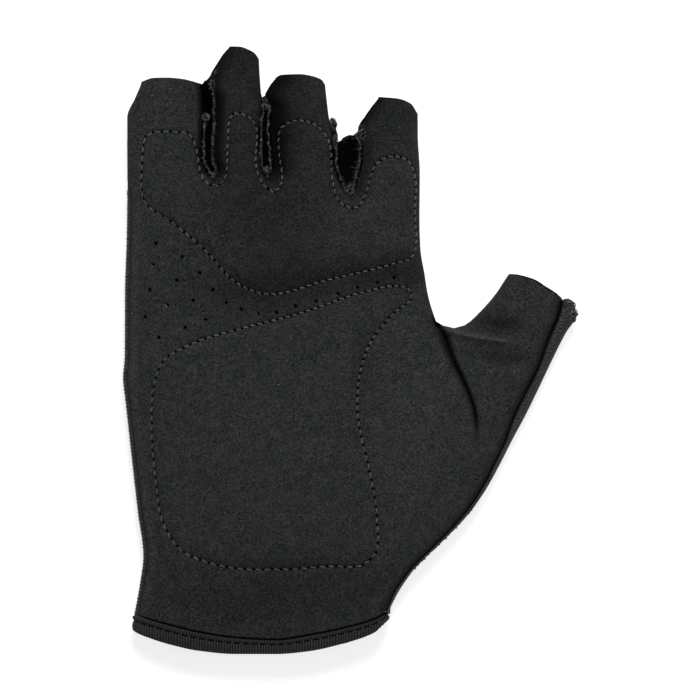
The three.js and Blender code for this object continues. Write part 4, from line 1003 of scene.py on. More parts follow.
def knitted_finish(name, constants, pitch, patch, shaded_valley, crest, bump):
    """A knit with painted shade between its stitches; a pair of colours is mixed in patches or in
    flecks
    """
    made, tree, shader = new_finish(name, *constants)
    loops = use_group(tree, knit_rows, Pitch=pitch)["Height"]
    nap_out = use_group(tree, nap, Fleck_Size=0.3, Patch_Size=patch)
    ends = []
    for colour, mask in ((shaded_valley, "Patch"), (crest, "Fleck")):
        ends.append(blend_of(tree, nap_out[mask], *colour) if len(colour) == 2 else colour)
    # painted shade: the valley colour between the stitches, the crest colour on them
    tree.links.new(blend_of(tree, loops, *ends), shader.inputs["Base Color"])
    relief_on(tree, shader, loops, *bump)
    return made


knit = knitted_finish(
    "knit", (0.85, 0.25, 0.08), 0.9, 6.0, ((0.0035, 0.0035, 0.0038), (0.005, 0.005, 0.0053)),
    ((0.012, 0.012, 0.0127), (0.023, 0.023, 0.024)), (0.8, 0.25),
)

BACK_DIGITS = [
    (suede_left, back_little_ring["left"], HEMS["little"], 74.2, 16),
    (back_little_ring["right"], back_ring_middle["left"], HEMS["ring"], 74.2, 14),
    (back_ring_middle["right"], back_middle_index["left"], HEMS["middle"], 74.2, 14),
    (back_middle_index["right"], index_thumb["left"], HEMS["index"], 68.7, 16),
    (index_thumb["right"], thumb_seam, HEMS["thumb"], 10.0, 18),
]
BACK_STOPS = [74.2, 68.7, 64.6, 63.4, 62.4, 61.4, 10.0, 8.4, 7.2, 6.4, LAST_ROW]
back_net = plan_of(BACK_DIGITS, BACK_STOPS, step=1.8, wrist_rows=9)
points, faces, _ = shell_from(
    back_net, lambda x, y: on_back(x, y, BACK_WALL), lambda x, y: on_back(x, y, 0)
)
back = mesh_piece("back_knit", points, faces, [knit])
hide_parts("back_panel")

# Hems: at the thumb's mouth and at the slanted sides of three fingers the black cloth under the
# suede is turned over, and its fold peeps out past the suede's cut edge.
HEM_RADIUS = 0.34
HEM_OUT = 0.05
HEM_SINK = 0.3
HEM_STEP = 0.4
HEM_TAPER = 6  # steps from its end to its full radius
SLANTS = [(little_ring, 80.2, 89), (ring_middle, 75.2, 80.2), (middle_index, 65, 74)]
hem_lines = []
for gap, low, high in SLANTS:
    y = np.linspace(low, high, 14)
    hem_lines.append(np.stack([gap["right"](y) - HEM_OUT, y], axis=1))
across, y = rounded(HEMS["thumb"], 0.05, closed=False).T
x = index_thumb["right"](y) + across * (thumb_seam(y) - index_thumb["right"](y))
hem_lines.append(np.stack([x, y + HEM_OUT], axis=1))
hems = []
for line in hem_lines:
    line = rounded(line, HEM_STEP, closed=False)[1:-1]
    line = np.column_stack([line, front_height(*line.T) - HEM_SINK])
    at = np.arange(len(line))
    taper = np.clip((np.minimum(at, at[::-1]) + 1) / HEM_TAPER, 0.2, 1)
    hems.append(tube(line, HEM_RADIUS * taper, 8))
cloth_core_and_shade = napped_finish(
    "edge_core_and_shade", (0.95, 0.02), (0.4, 2.0), (0.0008, 0.0008, 0.0008), (0.005, 0.0048, 0.005)
)
joined_piece("cloth_hems", [(hems, cloth_core_and_shade)])

# Finger strips: a strip of black stretch fabric joins the palm and the back between each two
# fingers. It is sewn to both raw edges and sinks between them like a small gutter.
STRIP_WALL = 0.7
STRIP_SAG = (2.2, 9.5)  # how deep the gutter is at its foot and at its top
STRIP_INSET = 0.35
STRIP_BELOW = 0.5  # its edge below the suede's top face
STRIP_FOOT = 0.5  # its end above the gap's foot
STRIP_CLEAR = 0.4  # between it and the back
STRIP_POWER = 2.6  # how boxy the gutter is
STRIP_ROWS = 26
STRIP_COLUMNS = 20
GAPS = [  # name, lines, height of the gutter's top on the left and on the right
    ("little_ring", little_ring, 78.2, 79.3),
    ("ring_middle", ring_middle, 74.3, 74.5),
    ("middle_index", middle_index, 61.0, 63.8),
]
strip_knit = knitted_finish(
    "strip_knit", (0.9, 0.0), 0.55, 6.0, (0.0008, 0.0008, 0.0009), (0.0042, 0.004, 0.0042),
    (0.7, 0.15),
)


def edge_height(line, y):
    return front_height(line(y), y)


def gutter(gap, left_top, right_top):
    """The gutter's upper skin and the way it faces, row by row from its foot"""
    rise = np.linspace(0, 1, STRIP_ROWS)[:, None] ** 0.8
    share = np.linspace(0, 1, STRIP_COLUMNS)[None, :]
    foot = gap["foot"] + STRIP_FOOT
    left_y, right_y = foot + (left_top - foot) * rise, foot + (right_top - foot) * rise
    left_x, right_x = gap["left"](left_y), gap["right"](right_y)
    inset = np.minimum(STRIP_INSET, (right_x - left_x) / 4)
    left_x, right_x = left_x + inset, right_x - inset
    across = (1 - np.cos(np.pi * share)) / 2
    x = left_x + (right_x - left_x) * across
    y = left_y + (right_y - left_y) * across
    left_rim, right_rim = edge_height(gap["left"], left_y), edge_height(gap["right"], right_y)
    rim = left_rim * (1 - share) + right_rim * share
    sag = STRIP_SAG[0] + (STRIP_SAG[1] - STRIP_SAG[0]) * rise
    depth = sag * (1 - np.abs(2 * share - 1) ** STRIP_POWER)
    floor = back_height(x, y) + BACK_WALL + STRIP_WALL + STRIP_CLEAR
    return np.stack([x, y, np.maximum(rim - STRIP_BELOW - depth, floor)], axis=-1)


for name, gap, left_top, right_top in GAPS:
    upper = gutter(gap, left_top, right_top)
    normal = unit(np.cross(np.gradient(upper, axis=1), np.gradient(upper, axis=0)))
    ring = np.concatenate([upper, (upper - normal * STRIP_WALL)[:, ::-1]], axis=1)
    faces = [face[::-1] for face in ring_faces(*ring.shape[:2])]
    strip = mesh_piece("strip_" + name, ring.reshape(-1, 3), faces, [strip_knit], sharp=70)
    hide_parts("fourchette_" + name)

# Raw edges of the finger gaps: the suede's edge and the strip's are overlocked together, and
# the trimmed seam allowance stands up as a fuzzy cord that ends in a knot at each fingertip.
CORDS = {  # each cord's radius, and its way from the suede's edge into the gap: left, right
    "little_ring": ((0.2, 0.88), (0.3, 0.6)),
    "ring_middle": ((0.17, 0.62), (0.17, 0.8)),
    "middle_index": ((0.22, 0.92), (0.23, 1.0)),
}
CORD_STEP = 0.3
CORD_SWELL = 0.14
CORD_TAPER = (0.35, 0.6)  # share of its radius at its end, and the run to its full radius
CORD_WIGGLE = 0.1
STAND = 2.5  # how far the seam stands up beside a finger that turns down
WRAP_RADIUS = 0.078
WRAP_PITCH = 0.46
FUZZ_PER_MM = 7
FUZZ_LENGTH = (0.3, 1.1)
LONG_FUZZ = (0.6, 3.0)  # on the right of the widest gap
FUZZ_RADIUS = 0.042
FUZZ_POINTS = 5
FUZZ_CURL = 0.45
FUZZ_SPREAD = 0.9  # how far a fibre swerves along the line, and curls
FUZZ_TAPER = (1.15, 0.45)
KNOT_POINTS = 34
KNOT_WAVES = ((1, 0.62), (2, 0.42), (3, 0.26))  # turns and size of the waves of a loop
KNOT_LOOPS = 3.4  # for each millimetre of half its height, and two more
KNOT_CORE = 0.75  # its share of the knot
KNOT_SHIFT = 0.2  # of a loop off the middle, as a share
KNOT_LIFT = 0.3  # above the edge
KNOT_DEPTH = 0.9  # half of it
TUFT_SIZE = (0.25, 0.5)
TUFT_SHIFT = 0.2  # off the cord
KNOT_THREAD = 0.085
TUFT_THREAD = 0.065
THUMB_KNOT_THREAD = 0.17
TUFTS = 0.45  # knots of tangled fibre along a cord, per millimetre
THICK_END = (0.45, 58.5, 3)  # one cord is thicker at its end: by how much, from which y, its run
EDGE_TOPS = {  # y where the cord starts on the left and on the right of its gap
    "little_ring": (68.5, 75.8),
    "ring_middle": (72.4, 72.4),
    "middle_index": (68.3, 63.4),
}
KNOTS = {  # x, y and half sizes of the knots at the tops of the cords and at their foot
    "little_ring": [
        (-42.5, 68.7, 1.4, 1.1), (-40.1, 78.1, 1.4, 1.9), (-39.5, 82, 0.4, 0.8),
        (-40.8, 51.8, 0.8, 0.9),
    ],
    "ring_middle": [(-25.3, 73.4, 1.0, 1.3), (-24.2, 72.2, 1.0, 1.7), (-24.4, 53, 0.8, 1.2)],
    "middle_index": [
        (-4.7, 66.9, 1.0, 1.4), (-4.5, 66.5, 0.9, 1.5), (4.0, 64, 1.5, 2.2), (0.2, 47.4, 1.4, 1.6),
    ],
}
yarn = napped_finish(
    "edge_yarn", (0.9, 0.1, 0.1), (0.35, 0.9), ((0.001, 0.0009, 0.001), (0.02, 0.019, 0.0195)),
    ((0.022, 0.021, 0.0216), (0.27, 0.26, 0.265)), (0.5, 0.1),
)


def frame_along(line):
    """Directions ahead, to the side and up at each point of a line"""
    ahead = unit(np.gradient(line, axis=0))
    side = unit(np.cross(ahead, (0, 0, 1)))
    return ahead, side, np.cross(side, ahead)


def bumpy_cord(line, radius, draw):
    """A core of trimmed cloth with a wavy surface"""
    count = len(line)
    waves = [(draw.uniform(0.6, 2.4), draw.uniform(0, 6.3)) for _ in range(4)]
    at = np.arange(count) * CORD_STEP
    swell = 1 + CORD_SWELL * sum(np.sin(at * k + phase) for k, phase in waves) / 2
    start, run = CORD_TAPER
    taper = np.clip(np.minimum(at, at[::-1]) / run + start, 0, 1)
    return tube(line, radius * swell * taper, 10)


def wrapped(line, radius, pitch, thread, sides=5, steps=12):
    """A thread wound round a line"""
    far = lengths(line)
    at = np.linspace(0, far[-1], int(far[-1] / pitch * steps))
    centre = sampled(at, far, line)
    radius = np.interp(at, far, np.broadcast_to(radius, len(line)))[:, None]
    _, side, up = frame_along(centre)
    angle = (2 * np.pi * at / pitch)[:, None]
    out = side * np.cos(angle) + up * np.sin(angle)
    return tube(centre + radius * out, thread, sides, out)


def fuzz(line, radius, per_mm, lean, draw, length=FUZZ_LENGTH):
    """Loose fibres that stand off a line"""
    ahead, side, up = frame_along(line)
    radius = np.broadcast_to(radius, len(line))
    span = CORD_STEP * len(line)
    parts = []
    for _ in range(int(span * per_mm)):
        at = draw.uniform(0, len(line) - 1.001)
        i = int(at)
        root = line[i] + (line[i + 1] - line[i]) * (at - i)
        angle = draw.uniform(-0.35, math.pi + 0.35)
        aim = side[i] * math.cos(angle) + up[i] * math.sin(angle)
        point = root + aim * radius[i] * 0.8
        swerve = ahead[i] * draw.uniform(-FUZZ_SPREAD, FUZZ_SPREAD)
        heading = aim + swerve + np.array(lean) * draw.random()
        reach_now = draw.uniform(*length) * draw.uniform(0.5, 1)
        curl = np.array([draw.uniform(-1, 1) for _ in range(3)]) * FUZZ_SPREAD
        trail = [point]
        for _ in range(FUZZ_POINTS - 1):
            heading = heading / np.linalg.norm(heading) + curl * FUZZ_CURL
            ahead_now = heading / np.linalg.norm(heading)
            trail.append(trail[-1] + ahead_now * reach_now / (FUZZ_POINTS - 1))
        thin = FUZZ_RADIUS * np.linspace(*FUZZ_TAPER, FUZZ_POINTS)
        parts.append(tube(trail, thin, 3, np.tile(aim, (FUZZ_POINTS, 1)) + 0.01))
    return parts


def knot(centre, half, thread, loops, draw):
    """A small core, then a tangle of thread loops round it"""
    centre, half = np.array(centre), np.array(half)
    turn = np.linspace(0, 2 * np.pi, KNOT_POINTS)[:, None]
    parts = []
    for _ in range(loops):
        line = np.zeros((KNOT_POINTS, 3))
        for wave, size in KNOT_WAVES:
            a, b = (unit(np.array([draw.gauss(0, 1) for _ in range(3)])) for _ in range(2))
            line += size * (a * np.cos(wave * turn) + b * np.sin(wave * turn))
        line *= np.minimum(1, 1 / np.linalg.norm(line, axis=1, keepdims=True))
        shift = np.array([draw.uniform(-KNOT_SHIFT, KNOT_SHIFT) for _ in range(3)])
        parts.append(tube(centre + (line + shift) * half, thread, 5, (0.31, 0.17, 0.93)))
    polar = np.linspace(-np.pi / 2, np.pi / 2, 9)
    core = centre + np.outer(half[1] * KNOT_CORE * np.sin(polar), (0, 1, 0))
    return [tube(core, KNOT_CORE * min(half[0], half[2]) * np.cos(polar) + 0.05, 10), *parts]


def cord_line(gap, side, top, stand, radius, off, thicker):
    """The seam allowance's way from a fingertip down to the gap's foot, and its radius"""
    y = np.arange(top, gap["foot"] + 0.4, -CORD_STEP)
    half = (gap["right"](y) - gap["left"](y)) / 2
    more, start, run = THICK_END
    extra = thicker * more * smooth((y - start) / run)
    off = np.where(y < gap["tip"], np.minimum(off, half * 0.8), off)
    x = gap["left"](y) + off if side == "left" else gap["right"](y) - off
    z = edge_height(gap[side], y) + 0.05 + stand * smooth((y - gap["foot"]) / 3)
    return np.stack([x, y, z], axis=-1), radius + extra


for index, (name, gap, _, _) in enumerate(GAPS):
    draw = random.Random(40 + index)
    cores, parts = [], []
    sides = zip(("left", "right"), EDGE_TOPS[name], CORDS[name], (0.5, -0.7))
    for side, top, (radius, off), lean in sides:
        stand = STAND if side == "right" and gap is not middle_index else 0.0
        thicker = side == "left" and gap is middle_index
        line, radius = cord_line(gap, side, top, stand, radius, off, thicker)
        wiggle = np.array([draw.uniform(-CORD_WIGGLE, CORD_WIGGLE) for _ in line])
        line[:, 0] += np.convolve(wiggle, np.ones(4), "same")
        for below in np.arange(0, stand + 0.1, 0.5):
            cores.append(bumpy_cord(line - (0, 0, below), radius, draw))
        parts.append(wrapped(line, radius * 1.02, WRAP_PITCH, WRAP_RADIUS))
        length = LONG_FUZZ if side == "right" and gap is middle_index else FUZZ_LENGTH
        parts += fuzz(line, radius, FUZZ_PER_MM, (lean, 0, 0.5), draw, length)
        for _ in range(round(TUFTS * CORD_STEP * len(line))):
            x, y, z = line[draw.randrange(len(line))]
            size = draw.uniform(*TUFT_SIZE)
            spot = (x + draw.uniform(-TUFT_SHIFT, TUFT_SHIFT), y, z + 0.15)
            core, *loops = knot(spot, (size * 0.8, size, size * 0.7), TUFT_THREAD, 3, draw)
            parts += loops
    if gap is middle_index:
        edge = rounded([(-3.4, 61.5), (2.4, 63.7)], CORD_STEP, closed=False)
        edge = np.column_stack([edge, np.linspace(11, 12, len(edge))])
        parts += fuzz(edge, 0.15, 5, (0, 0.4, 0.5), draw)
    for x, y, half_x, half_y in KNOTS[name]:
        beside = gap["left"] if x < (gap["left"](y) + gap["right"](y)) / 2 else gap["right"]
        z = max(float(edge_height(beside, y)), float(front_height(np.array(x), np.array(y))))
        z += KNOT_LIFT
        count = round(KNOT_LOOPS * half_y) + 2
        core, *loops = knot((x, y, z), (half_x, half_y, KNOT_DEPTH), KNOT_THREAD, count, draw)
        cores.append(core)
        parts += loops
        around = np.array([(x, y - half_y, z), (x, y, z + 0.3), (x, y + half_y, z)])
        parts += fuzz(rounded(around, CORD_STEP, closed=False), half_x * 0.7, 5, (0, 0, 0.6), draw)
    cord = joined_piece("edge_" + name, [(cores, cloth_core_and_shade), (parts, yarn)])
    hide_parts("seam_edge_" + name)

# Thumb edge: the outer seam of the thumb and the heel is a strip of the back's cloth, folded
# over and overlocked beside the suede's raw edge. It ends in a knot by the thumb's hem.
THUMB_OUTLINE = [
    (15.4, 64.2), (14.6, 65.4), (13.2, 66.6), (10.6, 67), (8.8, 66.5), (5.2, 64.1), (-1.8, 60.5),
    (-12.5, 55.4), (-19.6, 51.9), (-26.7, 48.1), (-33.8, 44.5), (-40.9, 40.6), (-44.4, 38.3),
    (-48, 35.7), (-55.1, 29.1), (-62.1, 21.9), (-65.7, 18.5), (-72.8, 13.8), (-76.3, 12.1),
]
THUMB_STRIP_HALF = [(14.4, 0.9), (10.6, 1.2), (5, 0.8), (-75, 0.6)]  # y, half thickness
EDGE_TUCK = 0.5  # the cloth goes on under the suede
EDGE_SINK = 0.75  # its upper face below the suede's
SIDE_HALF = 0.5
STRIP_SIDES = 14
LACE_PITCH = 1.0
LACE_RADIUS = 0.14
LACE_STEP = 0.22
LACE_OUT = 0.12  # past the strip's near side and above it
LACE_SWAY = 0.35
LACE_DOWN = 0.75  # how far down its far corners lie, as a share of the pitch
LACE_CHANGE = (-0.5, 0.3)  # of where its far corners lie
SEAM_TUCK = 0.15  # the strip starts inside the suede's seam
THUMB_SPAN = (14.8, -78)  # y where the strip starts and ends
SEAM_SPAN = (14.6, -76)  # and the lace and fuzz on it
SHADE_SPAN = (14.6, -79.4)  # and the black tube of painted shade along the suede's raw edge
THUMB_LACES = [(12.5, 0.5), (12.1, 0.3)]  # y where each starts, how far across it reaches
SHOULDER_INSET = 0.6  # the suede's shoulder inside its seam
FUZZ_OUT = 0.6  # the line of the fuzz outside the strip's start
THUMB_KNOTS = [  # middle, half sizes and number of loops
    ((64.3, 13.2, 7.9), (2.2, 1.8, 1.3), 14), ((65.8, 10.2, 7.7), (1.5, 2.0, 1.2), 11),
]
SEAM_SHADE = [(14.4, 0.46), (4, 0.36), (-20, 0.28), (-45, 0.23), (-76, 0.2)]  # y, radius of the black tube of painted shade
thumb_outline = track(THUMB_OUTLINE)
thumb_half = track(THUMB_STRIP_HALF)
seam_shade = track(SEAM_SHADE)


def ribbon(near, far, half, top, bottom, step, climb):
    """A flat cord between two lines of the plan; climb lifts its near and its far side"""
    y = np.linspace(top, bottom, round((top - bottom) / step))[:, None]
    angle = 2 * np.pi * np.arange(STRIP_SIDES)[None] / STRIP_SIDES
    across = np.sign(np.cos(angle)) * np.abs(np.cos(angle)) ** 0.7
    up = np.sign(np.sin(angle)) * np.abs(np.sin(angle)) ** 0.8
    middle, reach_x = (near(y) + far(y)) / 2, (far(y) - near(y)) / 2
    lift = (climb[0](y) * (1 - across) + climb[1](y) * (1 + across)) / 2
    z = SEAM_Z + lift + half(y) * up
    points = np.stack([middle + reach_x * across, y + 0 * angle, z], axis=-1)
    return points.reshape(-1, 3), ring_faces(len(y), STRIP_SIDES)


def lace(near, far, half, top, bottom, share, thread, draw, climb):
    """Overlock thread that crosses a strip to and fro"""
    count = round((top - bottom) / LACE_PITCH)
    corners = []
    for y in np.linspace(top, bottom, count):
        sway = draw.uniform(-LACE_SWAY, LACE_SWAY)
        end = near(y) + (far(y) - near(y)) * share + draw.uniform(*LACE_CHANGE)
        high, low = climb[0](y), climb[1](y)
        corners.append((near(y) - LACE_OUT, y, SEAM_Z + high + half(y) - 0.1))
        top_z = SEAM_Z + high + (low - high) * share + half(y) + LACE_OUT
        corners.append((end, y - LACE_PITCH * (LACE_DOWN + sway), top_z))
    return tube(rounded(corners, LACE_STEP, closed=False), thread, 5)


strip_cloth = knitted_finish(
    "edge_cloth", (0.85, 0.25, 0.12), 0.6, 2.0, (0.009, 0.009, 0.0092),
    ((0.013, 0.013, 0.0133), (0.056, 0.0545, 0.056)), (0.7, 0.2),
)
lace_yarn = napped_finish(
    "lace_yarn", (0.75, 0.3, 0.2, 0.45), (0.3, 1.8), (0.005, 0.0048, 0.005), (0.1, 0.097, 0.1),
    (0.5, 0.08),
)


def thumb_near(y):
    return thumb_seam(y) - SEAM_TUCK


def flat_side(y):
    return 0.0 * y


def thumb_climb(y):
    """How far the strip climbs to reach the suede's shoulder"""
    return front_height(thumb_seam(y) - SHOULDER_INSET, y) - EDGE_SINK - thumb_half(y) - SEAM_Z


draw = random.Random(61)
climb = (thumb_climb, flat_side)
band = ribbon(thumb_near, thumb_outline, thumb_half, *THUMB_SPAN, 0.6, climb)
threads = [
    lace(thumb_near, thumb_outline, thumb_half, top, SEAM_SPAN[1], share, LACE_RADIUS, draw, climb)
    for top, share in THUMB_LACES
]
seam_y = np.arange(*SEAM_SPAN, -CORD_STEP)
seam_z = SEAM_Z + thumb_climb(seam_y) + thumb_half(seam_y)
seam_line = np.stack([thumb_near(seam_y) + FUZZ_OUT, seam_y, seam_z], axis=1)
threads += fuzz(seam_line, 0.2, 7, (0.2, 0, 0.6), draw, (0.3, 1.2))
knots = [knot(centre, half, THUMB_KNOT_THREAD, count, draw) for centre, half, count in THUMB_KNOTS]
# A black tube of painted shade in the groove along the suede's raw edge
shade_y = np.arange(*SHADE_SPAN, -CORD_STEP)
shade_z = front_height(thumb_seam(shade_y) - 1.0, shade_y) - seam_shade(shade_y) - 0.05
shade_line = np.stack([thumb_seam(shade_y) - 0.1, shade_y, shade_z], axis=1)
shade = tube(shade_line, seam_shade(shade_y), 10)
edge_thumb = joined_piece(
    "edge_thumb",
    [
        ([band], strip_cloth),
        (threads, lace_yarn),
        ([body for _, *tangle in knots for body in tangle], yarn),
        ([shade, *(core for core, *_ in knots)], cloth_core_and_shade),
    ],
)
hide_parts("seam_edge_thumb")

# Side edge: along the little finger's side of the palm the knit is overlocked to the suede in
# the same way, but the seam is turned under there, so that only a narrow lip of it shows.
SIDE_SPAN = (50, -79)
SIDE_LACE = (47, -77.5, 0.9, 0.1)  # y from and to, how far across it reaches, radius
draw = random.Random(62)


def side_half(y):
    return SIDE_HALF + 0 * y


def side_climb(y):
    return front_height(suede_left(y) + 0.5, y) - EDGE_SINK - SIDE_HALF - SEAM_Z


climb = (flat_side, side_climb)
band = ribbon(outer_left, lambda y: suede_left(y) + EDGE_TUCK, side_half, *SIDE_SPAN, 0.8, climb)
side_line = (outer_left, lambda y: suede_left(y) - 0.1, side_half)
threads = [lace(*side_line, *SIDE_LACE, draw, climb)]
edge_side = joined_piece("edge_side", [([band], strip_cloth), (threads, lace_yarn)])
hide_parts("seam_edge_side")

# Wrist tape: a ribbed elastic tape folded over the wrist's edge. One row of dark stitches runs
# near its upper edge, and its ribs lie across it.
TAPE_GAP = 0.7
MOUTH_POINTS = 720
MOUTH_ROUNDS = 10  # how often the mouth's line is smoothed
GROOVE_SHARE = 0.3  # where the groove of the stitches lies: share of the way down, and height
GROOVE_HEIGHT = -0.02
GROOVE_STEP = 0.2
RIB_PITCH = 0.82
RIB_HEIGHT = 0.2
RIB_STEPS = 6
RIB_SLANT = 2.8  # turns for each whole tape, above the stitches
SHADE_RADIUS = 0.36  # the black tube of painted shade in the groove between the suede and the tape
TAPE_PROFILE = [  # share of the way down the tape and height over the cloth under it
    (-0.35, -1.85), (-0.35, -1.45), (-0.03, -1.4), (0.0, 0.05), (0.04, 0.3), (0.13, 0.4),
    (0.22, 0.22), (0.3, -0.16), (0.37, 0.2), (0.48, 0.44), (0.62, 0.52), (0.78, 0.48), (0.9, 0.3),
    (0.97, -0.05), (1.0, -0.5), (1.0, -0.95), (0.97, -1.35), (0.85, -1.75), (0.5, -1.9),
    (0.1, -1.9),
]
# Colours of the tape in the grooves between its ribs, which is painted shade, and on their crests
TAPE_GROOVE_SHADE = ((0.001, 0.001, 0.001), (0.0065, 0.0065, 0.0067))
TAPE_CREST = ((0.016, 0.016, 0.0164), (0.06, 0.06, 0.0615))
tape_finish, tree, shader = new_finish("wrist_tape", 0.75, 0.15, 0.08, 0.4)
nap_out = use_group(tree, nap, Fleck_Size=0.3, Patch_Size=3.0)
rib_shade_mask = place(tree, "Attribute", attribute_name="rib").outputs["Fac"]
dark = blend_of(tree, nap_out["Fleck"], *TAPE_GROOVE_SHADE)
crest = blend_of(tree, nap_out["Fleck"], *TAPE_CREST)
# painted shade: darker colour in the grooves between the ribs
tree.links.new(blend_of(tree, rib_shade_mask, dark, crest), shader.inputs["Base Color"])
relief_on(tree, shader, nap_out["Fleck"], 0.35, 0.06)


def wrist_corner(edge):
    """Where a side line meets the wrist's edge"""
    y = LAST_ROW
    for _ in range(EDGE_ROUNDS):
        y = float(wrist_top(edge(y)))
    return float(edge(y))


mouth_left, mouth_right = wrist_corner(outer_left) - 0.1, wrist_corner(thumb_seam)
cloth_left = wrist_corner(suede_left)
mouth_centre, mouth_half = (mouth_left + mouth_right) / 2, (mouth_right - mouth_left) / 2
angle = 2 * np.pi * (np.arange(MOUTH_POINTS) + 0.5) / MOUTH_POINTS
ring_x = mouth_centre + mouth_half * np.cos(angle)
ring_y = wrist_top(ring_x)
under_x = mouth_right + (ring_x - mouth_right) * (mouth_right - cloth_left) / (2 * mouth_half)
ring_z = np.where(np.sin(angle) > 0, front_height(under_x, ring_y), back_height(under_x, ring_y))
corners = np.stack([ring_x, ring_z], axis=1)
for _ in range(MOUTH_ROUNDS):
    corners = (np.roll(corners, 1, axis=0) + 2 * corners + np.roll(corners, -1, axis=0)) / 4
loop = rounded(corners, RIB_PITCH / RIB_STEPS)
loop = loop[: len(loop) // RIB_STEPS * RIB_STEPS]  # whole ribs
ahead = np.roll(loop, -1, axis=0) - np.roll(loop, 1, axis=0)
outward = unit(np.stack([ahead[:, 1], -ahead[:, 0]], axis=1))
top_y, bottom_y = wrist_top(loop[:, 0]) - TAPE_GAP, wrist_bottom(loop[:, 0])
at = np.arange(0, len(TAPE_PROFILE) - 0.9, 0.5)
profile = sampled(at, np.arange(len(TAPE_PROFILE)), TAPE_PROFILE)
sections, rib_shares = [], []
for down, height in profile:
    slant = RIB_SLANT * max(GROOVE_SHARE - down, 0)
    ribs = np.cos(2 * np.pi * (np.arange(len(loop)) / RIB_STEPS + slant))
    lift = height + RIB_HEIGHT * ribs * (height > -0.6) * (0.02 < down < 0.99)
    x = loop[:, 0] + outward[:, 0] * lift
    z = np.maximum(0.0, loop[:, 1] + outward[:, 1] * lift)
    sections.append(np.stack([x, top_y + (bottom_y - top_y) * down, z], axis=-1))
    rib_shares.append((1 + ribs) / 2)
ring = np.stack(sections, axis=1)
faces = ring_faces(*ring.shape[:2], closed=True)
tape = mesh_piece("wrist_tape", ring.reshape(-1, 3), faces, [tape_finish], sharp=75)
rib_data = tape.data.attributes.new("rib", "FLOAT", "POINT").data
rib_data.foreach_set("value", np.stack(rib_shares, axis=1).ravel())
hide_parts("wrist_binding")

# Stitches of the tape: dark thread in the groove near its upper edge, with a bit of lighter
# thread at each needle's hole, and a black tube of painted shade in the groove above the tape.
TAPE_STITCH = 2.6
TAPE_STITCH_FILL = 0.74
TAPE_THREAD = 0.25
STITCH_BOW = (0.18, 0.12)  # how far a stitch rises in its middle, and sinks at its ends
SPECK_RADII = (0.06, 0.1, 0.1, 0.05)  # the bit of lighter thread, from end to end
dark_thread_and_shade = napped_finish(
    "tape_thread_and_shade", (0.9, 0.02), (0.25, 5.0), (0.0008, 0.0008, 0.0008), (0.003, 0.003, 0.0031)
)
groove_z = np.maximum(0.6, loop[:, 1] + outward[:, 1] * GROOVE_HEIGHT)
groove_y = top_y + (bottom_y - top_y) * GROOVE_SHARE
groove_line = np.stack([loop[:, 0] + outward[:, 0] * GROOVE_HEIGHT, groove_y, groove_z], axis=-1)
groove_line = rounded(groove_line[::3], GROOVE_STEP)
at = np.arange(len(groove_line)) * len(loop) / len(groove_line)
up_line = sampled(at, np.arange(len(loop)), outward)
step = round(TAPE_STITCH / GROOVE_STEP)
parts, specks = [], []
for start in range(0, len(groove_line) - step, step):
    some = slice(start, start + round(step * TAPE_STITCH_FILL) + 1)
    line = groove_line[some].copy()
    ups = np.stack([up_line[some, 0], np.zeros(len(line)), up_line[some, 1]], axis=1)
    bow = np.sin(np.linspace(0, np.pi, len(line))) ** 0.5 * STITCH_BOW[0] - STITCH_BOW[1]
    parts.append(tube(line + ups * bow[:, None], TAPE_THREAD, 6, ups))
    ahead = np.linspace(0.1, 0.5, 4)[:, None] * (line[-1] - line[-2]) / GROOVE_STEP
    specks.append(tube(line[-1] + ups[-1] * 0.2 + ahead, SPECK_RADII, 6, ups[-4:]))
# A black tube of painted shade in the groove between the suede and the tape
shade_x = np.arange(mouth_left + 0.6, mouth_right - 0.4, 0.4)
shade_y = wrist_top(shade_x)
shade_z = front_height(shade_x, shade_y + 0.3) - SHADE_RADIUS
shade_line = np.stack([shade_x, shade_y - TAPE_GAP / 2, shade_z], axis=1)
thick = SHADE_RADIUS * (0.5 + 0.5 * smooth((shade_x - mouth_left) / 14))
parts.append(tube(shade_line, thick, 8))
tape_stitches_and_shade = joined_piece("tape_stitches_and_shade", [(parts, dark_thread_and_shade), (specks, thread)])

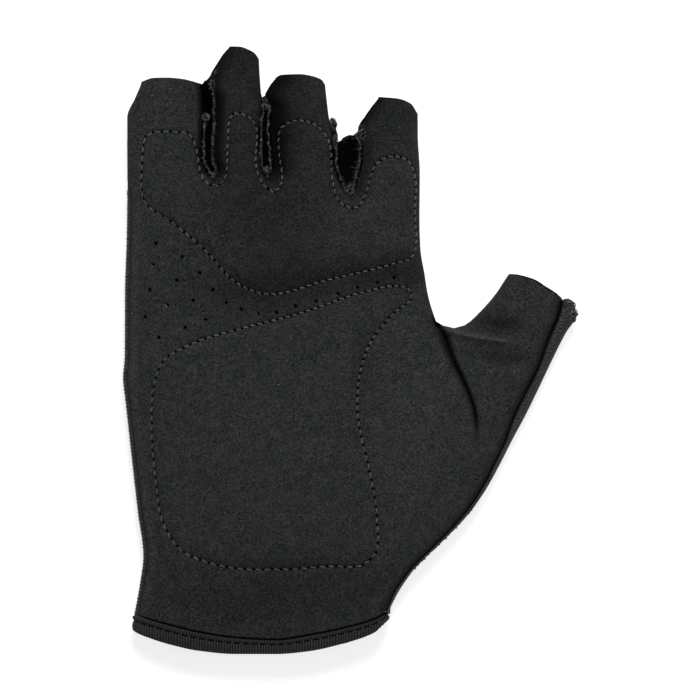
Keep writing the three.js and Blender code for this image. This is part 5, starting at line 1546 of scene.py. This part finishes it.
# Floor, light and camera: the glove lies on a pale table, under a soft lamp beyond the fingertips
# and a large one overhead, and is seen from straight above.
TABLE_GLOW = (0.6, 0.75)  # strength as a light, and as the camera sees it
ROOM_GLOW = (0.22, 1.0)
TABLE_GREY = (0.5, 0.5, 0.5, 1)


def seen_or_not(tree, lit, seen):
    """One value for the light that a surface gives, another for the camera"""
    in_view = place(tree, "LightPath").outputs["Is Camera Ray"]
    return range_of(tree, in_view, 0, 1, lit, seen)


floor_finish, tree, shader = new_finish("floor_finish", 0.9, 0.1)
shader.inputs["Base Color"].default_value = TABLE_GREY
shader.inputs["Emission Color"].default_value = (1, 1, 1, 1)
tree.links.new(seen_or_not(tree, *TABLE_GLOW), shader.inputs["Emission Strength"])
bpy.ops.mesh.primitive_plane_add(size=12, location=(0, 0, -0.0002))
floor = bpy.context.object
floor.name = "floor"
floor.data.materials.append(floor_finish)

LIGHTS = [  # name, place and size in metres, watts
    ("key", (0.06, 0.55, 0.95), 0.35, 8.8),
    ("overhead", (0.3, -0.1, 1.2), 1.0, 1.8),
]
for name, spot, size, power in LIGHTS:
    lamp = bpy.data.lights.new(name, "AREA")
    lamp.size = size
    lamp.energy = power
    lamp_object = bpy.data.objects.new(name, lamp)
    lamp_object.location = spot
    lamp_object.rotation_mode = "QUATERNION"
    lamp_object.rotation_quaternion = (-lamp_object.location).to_track_quat("-Z", "Y")
    bpy.context.scene.collection.objects.link(lamp_object)

world = bpy.data.worlds.new("studio")
world.use_nodes = True
tree = world.node_tree
background = tree.nodes["Background"]
background.inputs[0].default_value = (1, 1, 1, 1)
tree.links.new(seen_or_not(tree, *ROOM_GLOW), background.inputs[1])
bpy.context.scene.world = world
bpy.context.scene.view_settings.view_transform = "Standard"

FIELD = 206.9  # width of the picture
LENS = 600
SENSOR = 36
MIDDLE = (0.15, -0.07, 7)  # middle of the picture, at the height of the outline
lens = bpy.data.cameras.new("camera")
lens.lens = LENS
lens.sensor_width = SENSOR
lens.clip_end = 50
camera = bpy.data.objects.new("camera", lens)
camera.location = [v * MM for v in (MIDDLE[0], MIDDLE[1], MIDDLE[2] + FIELD * LENS / SENSOR)]
bpy.context.scene.collection.objects.link(camera)
bpy.context.scene.camera = camera
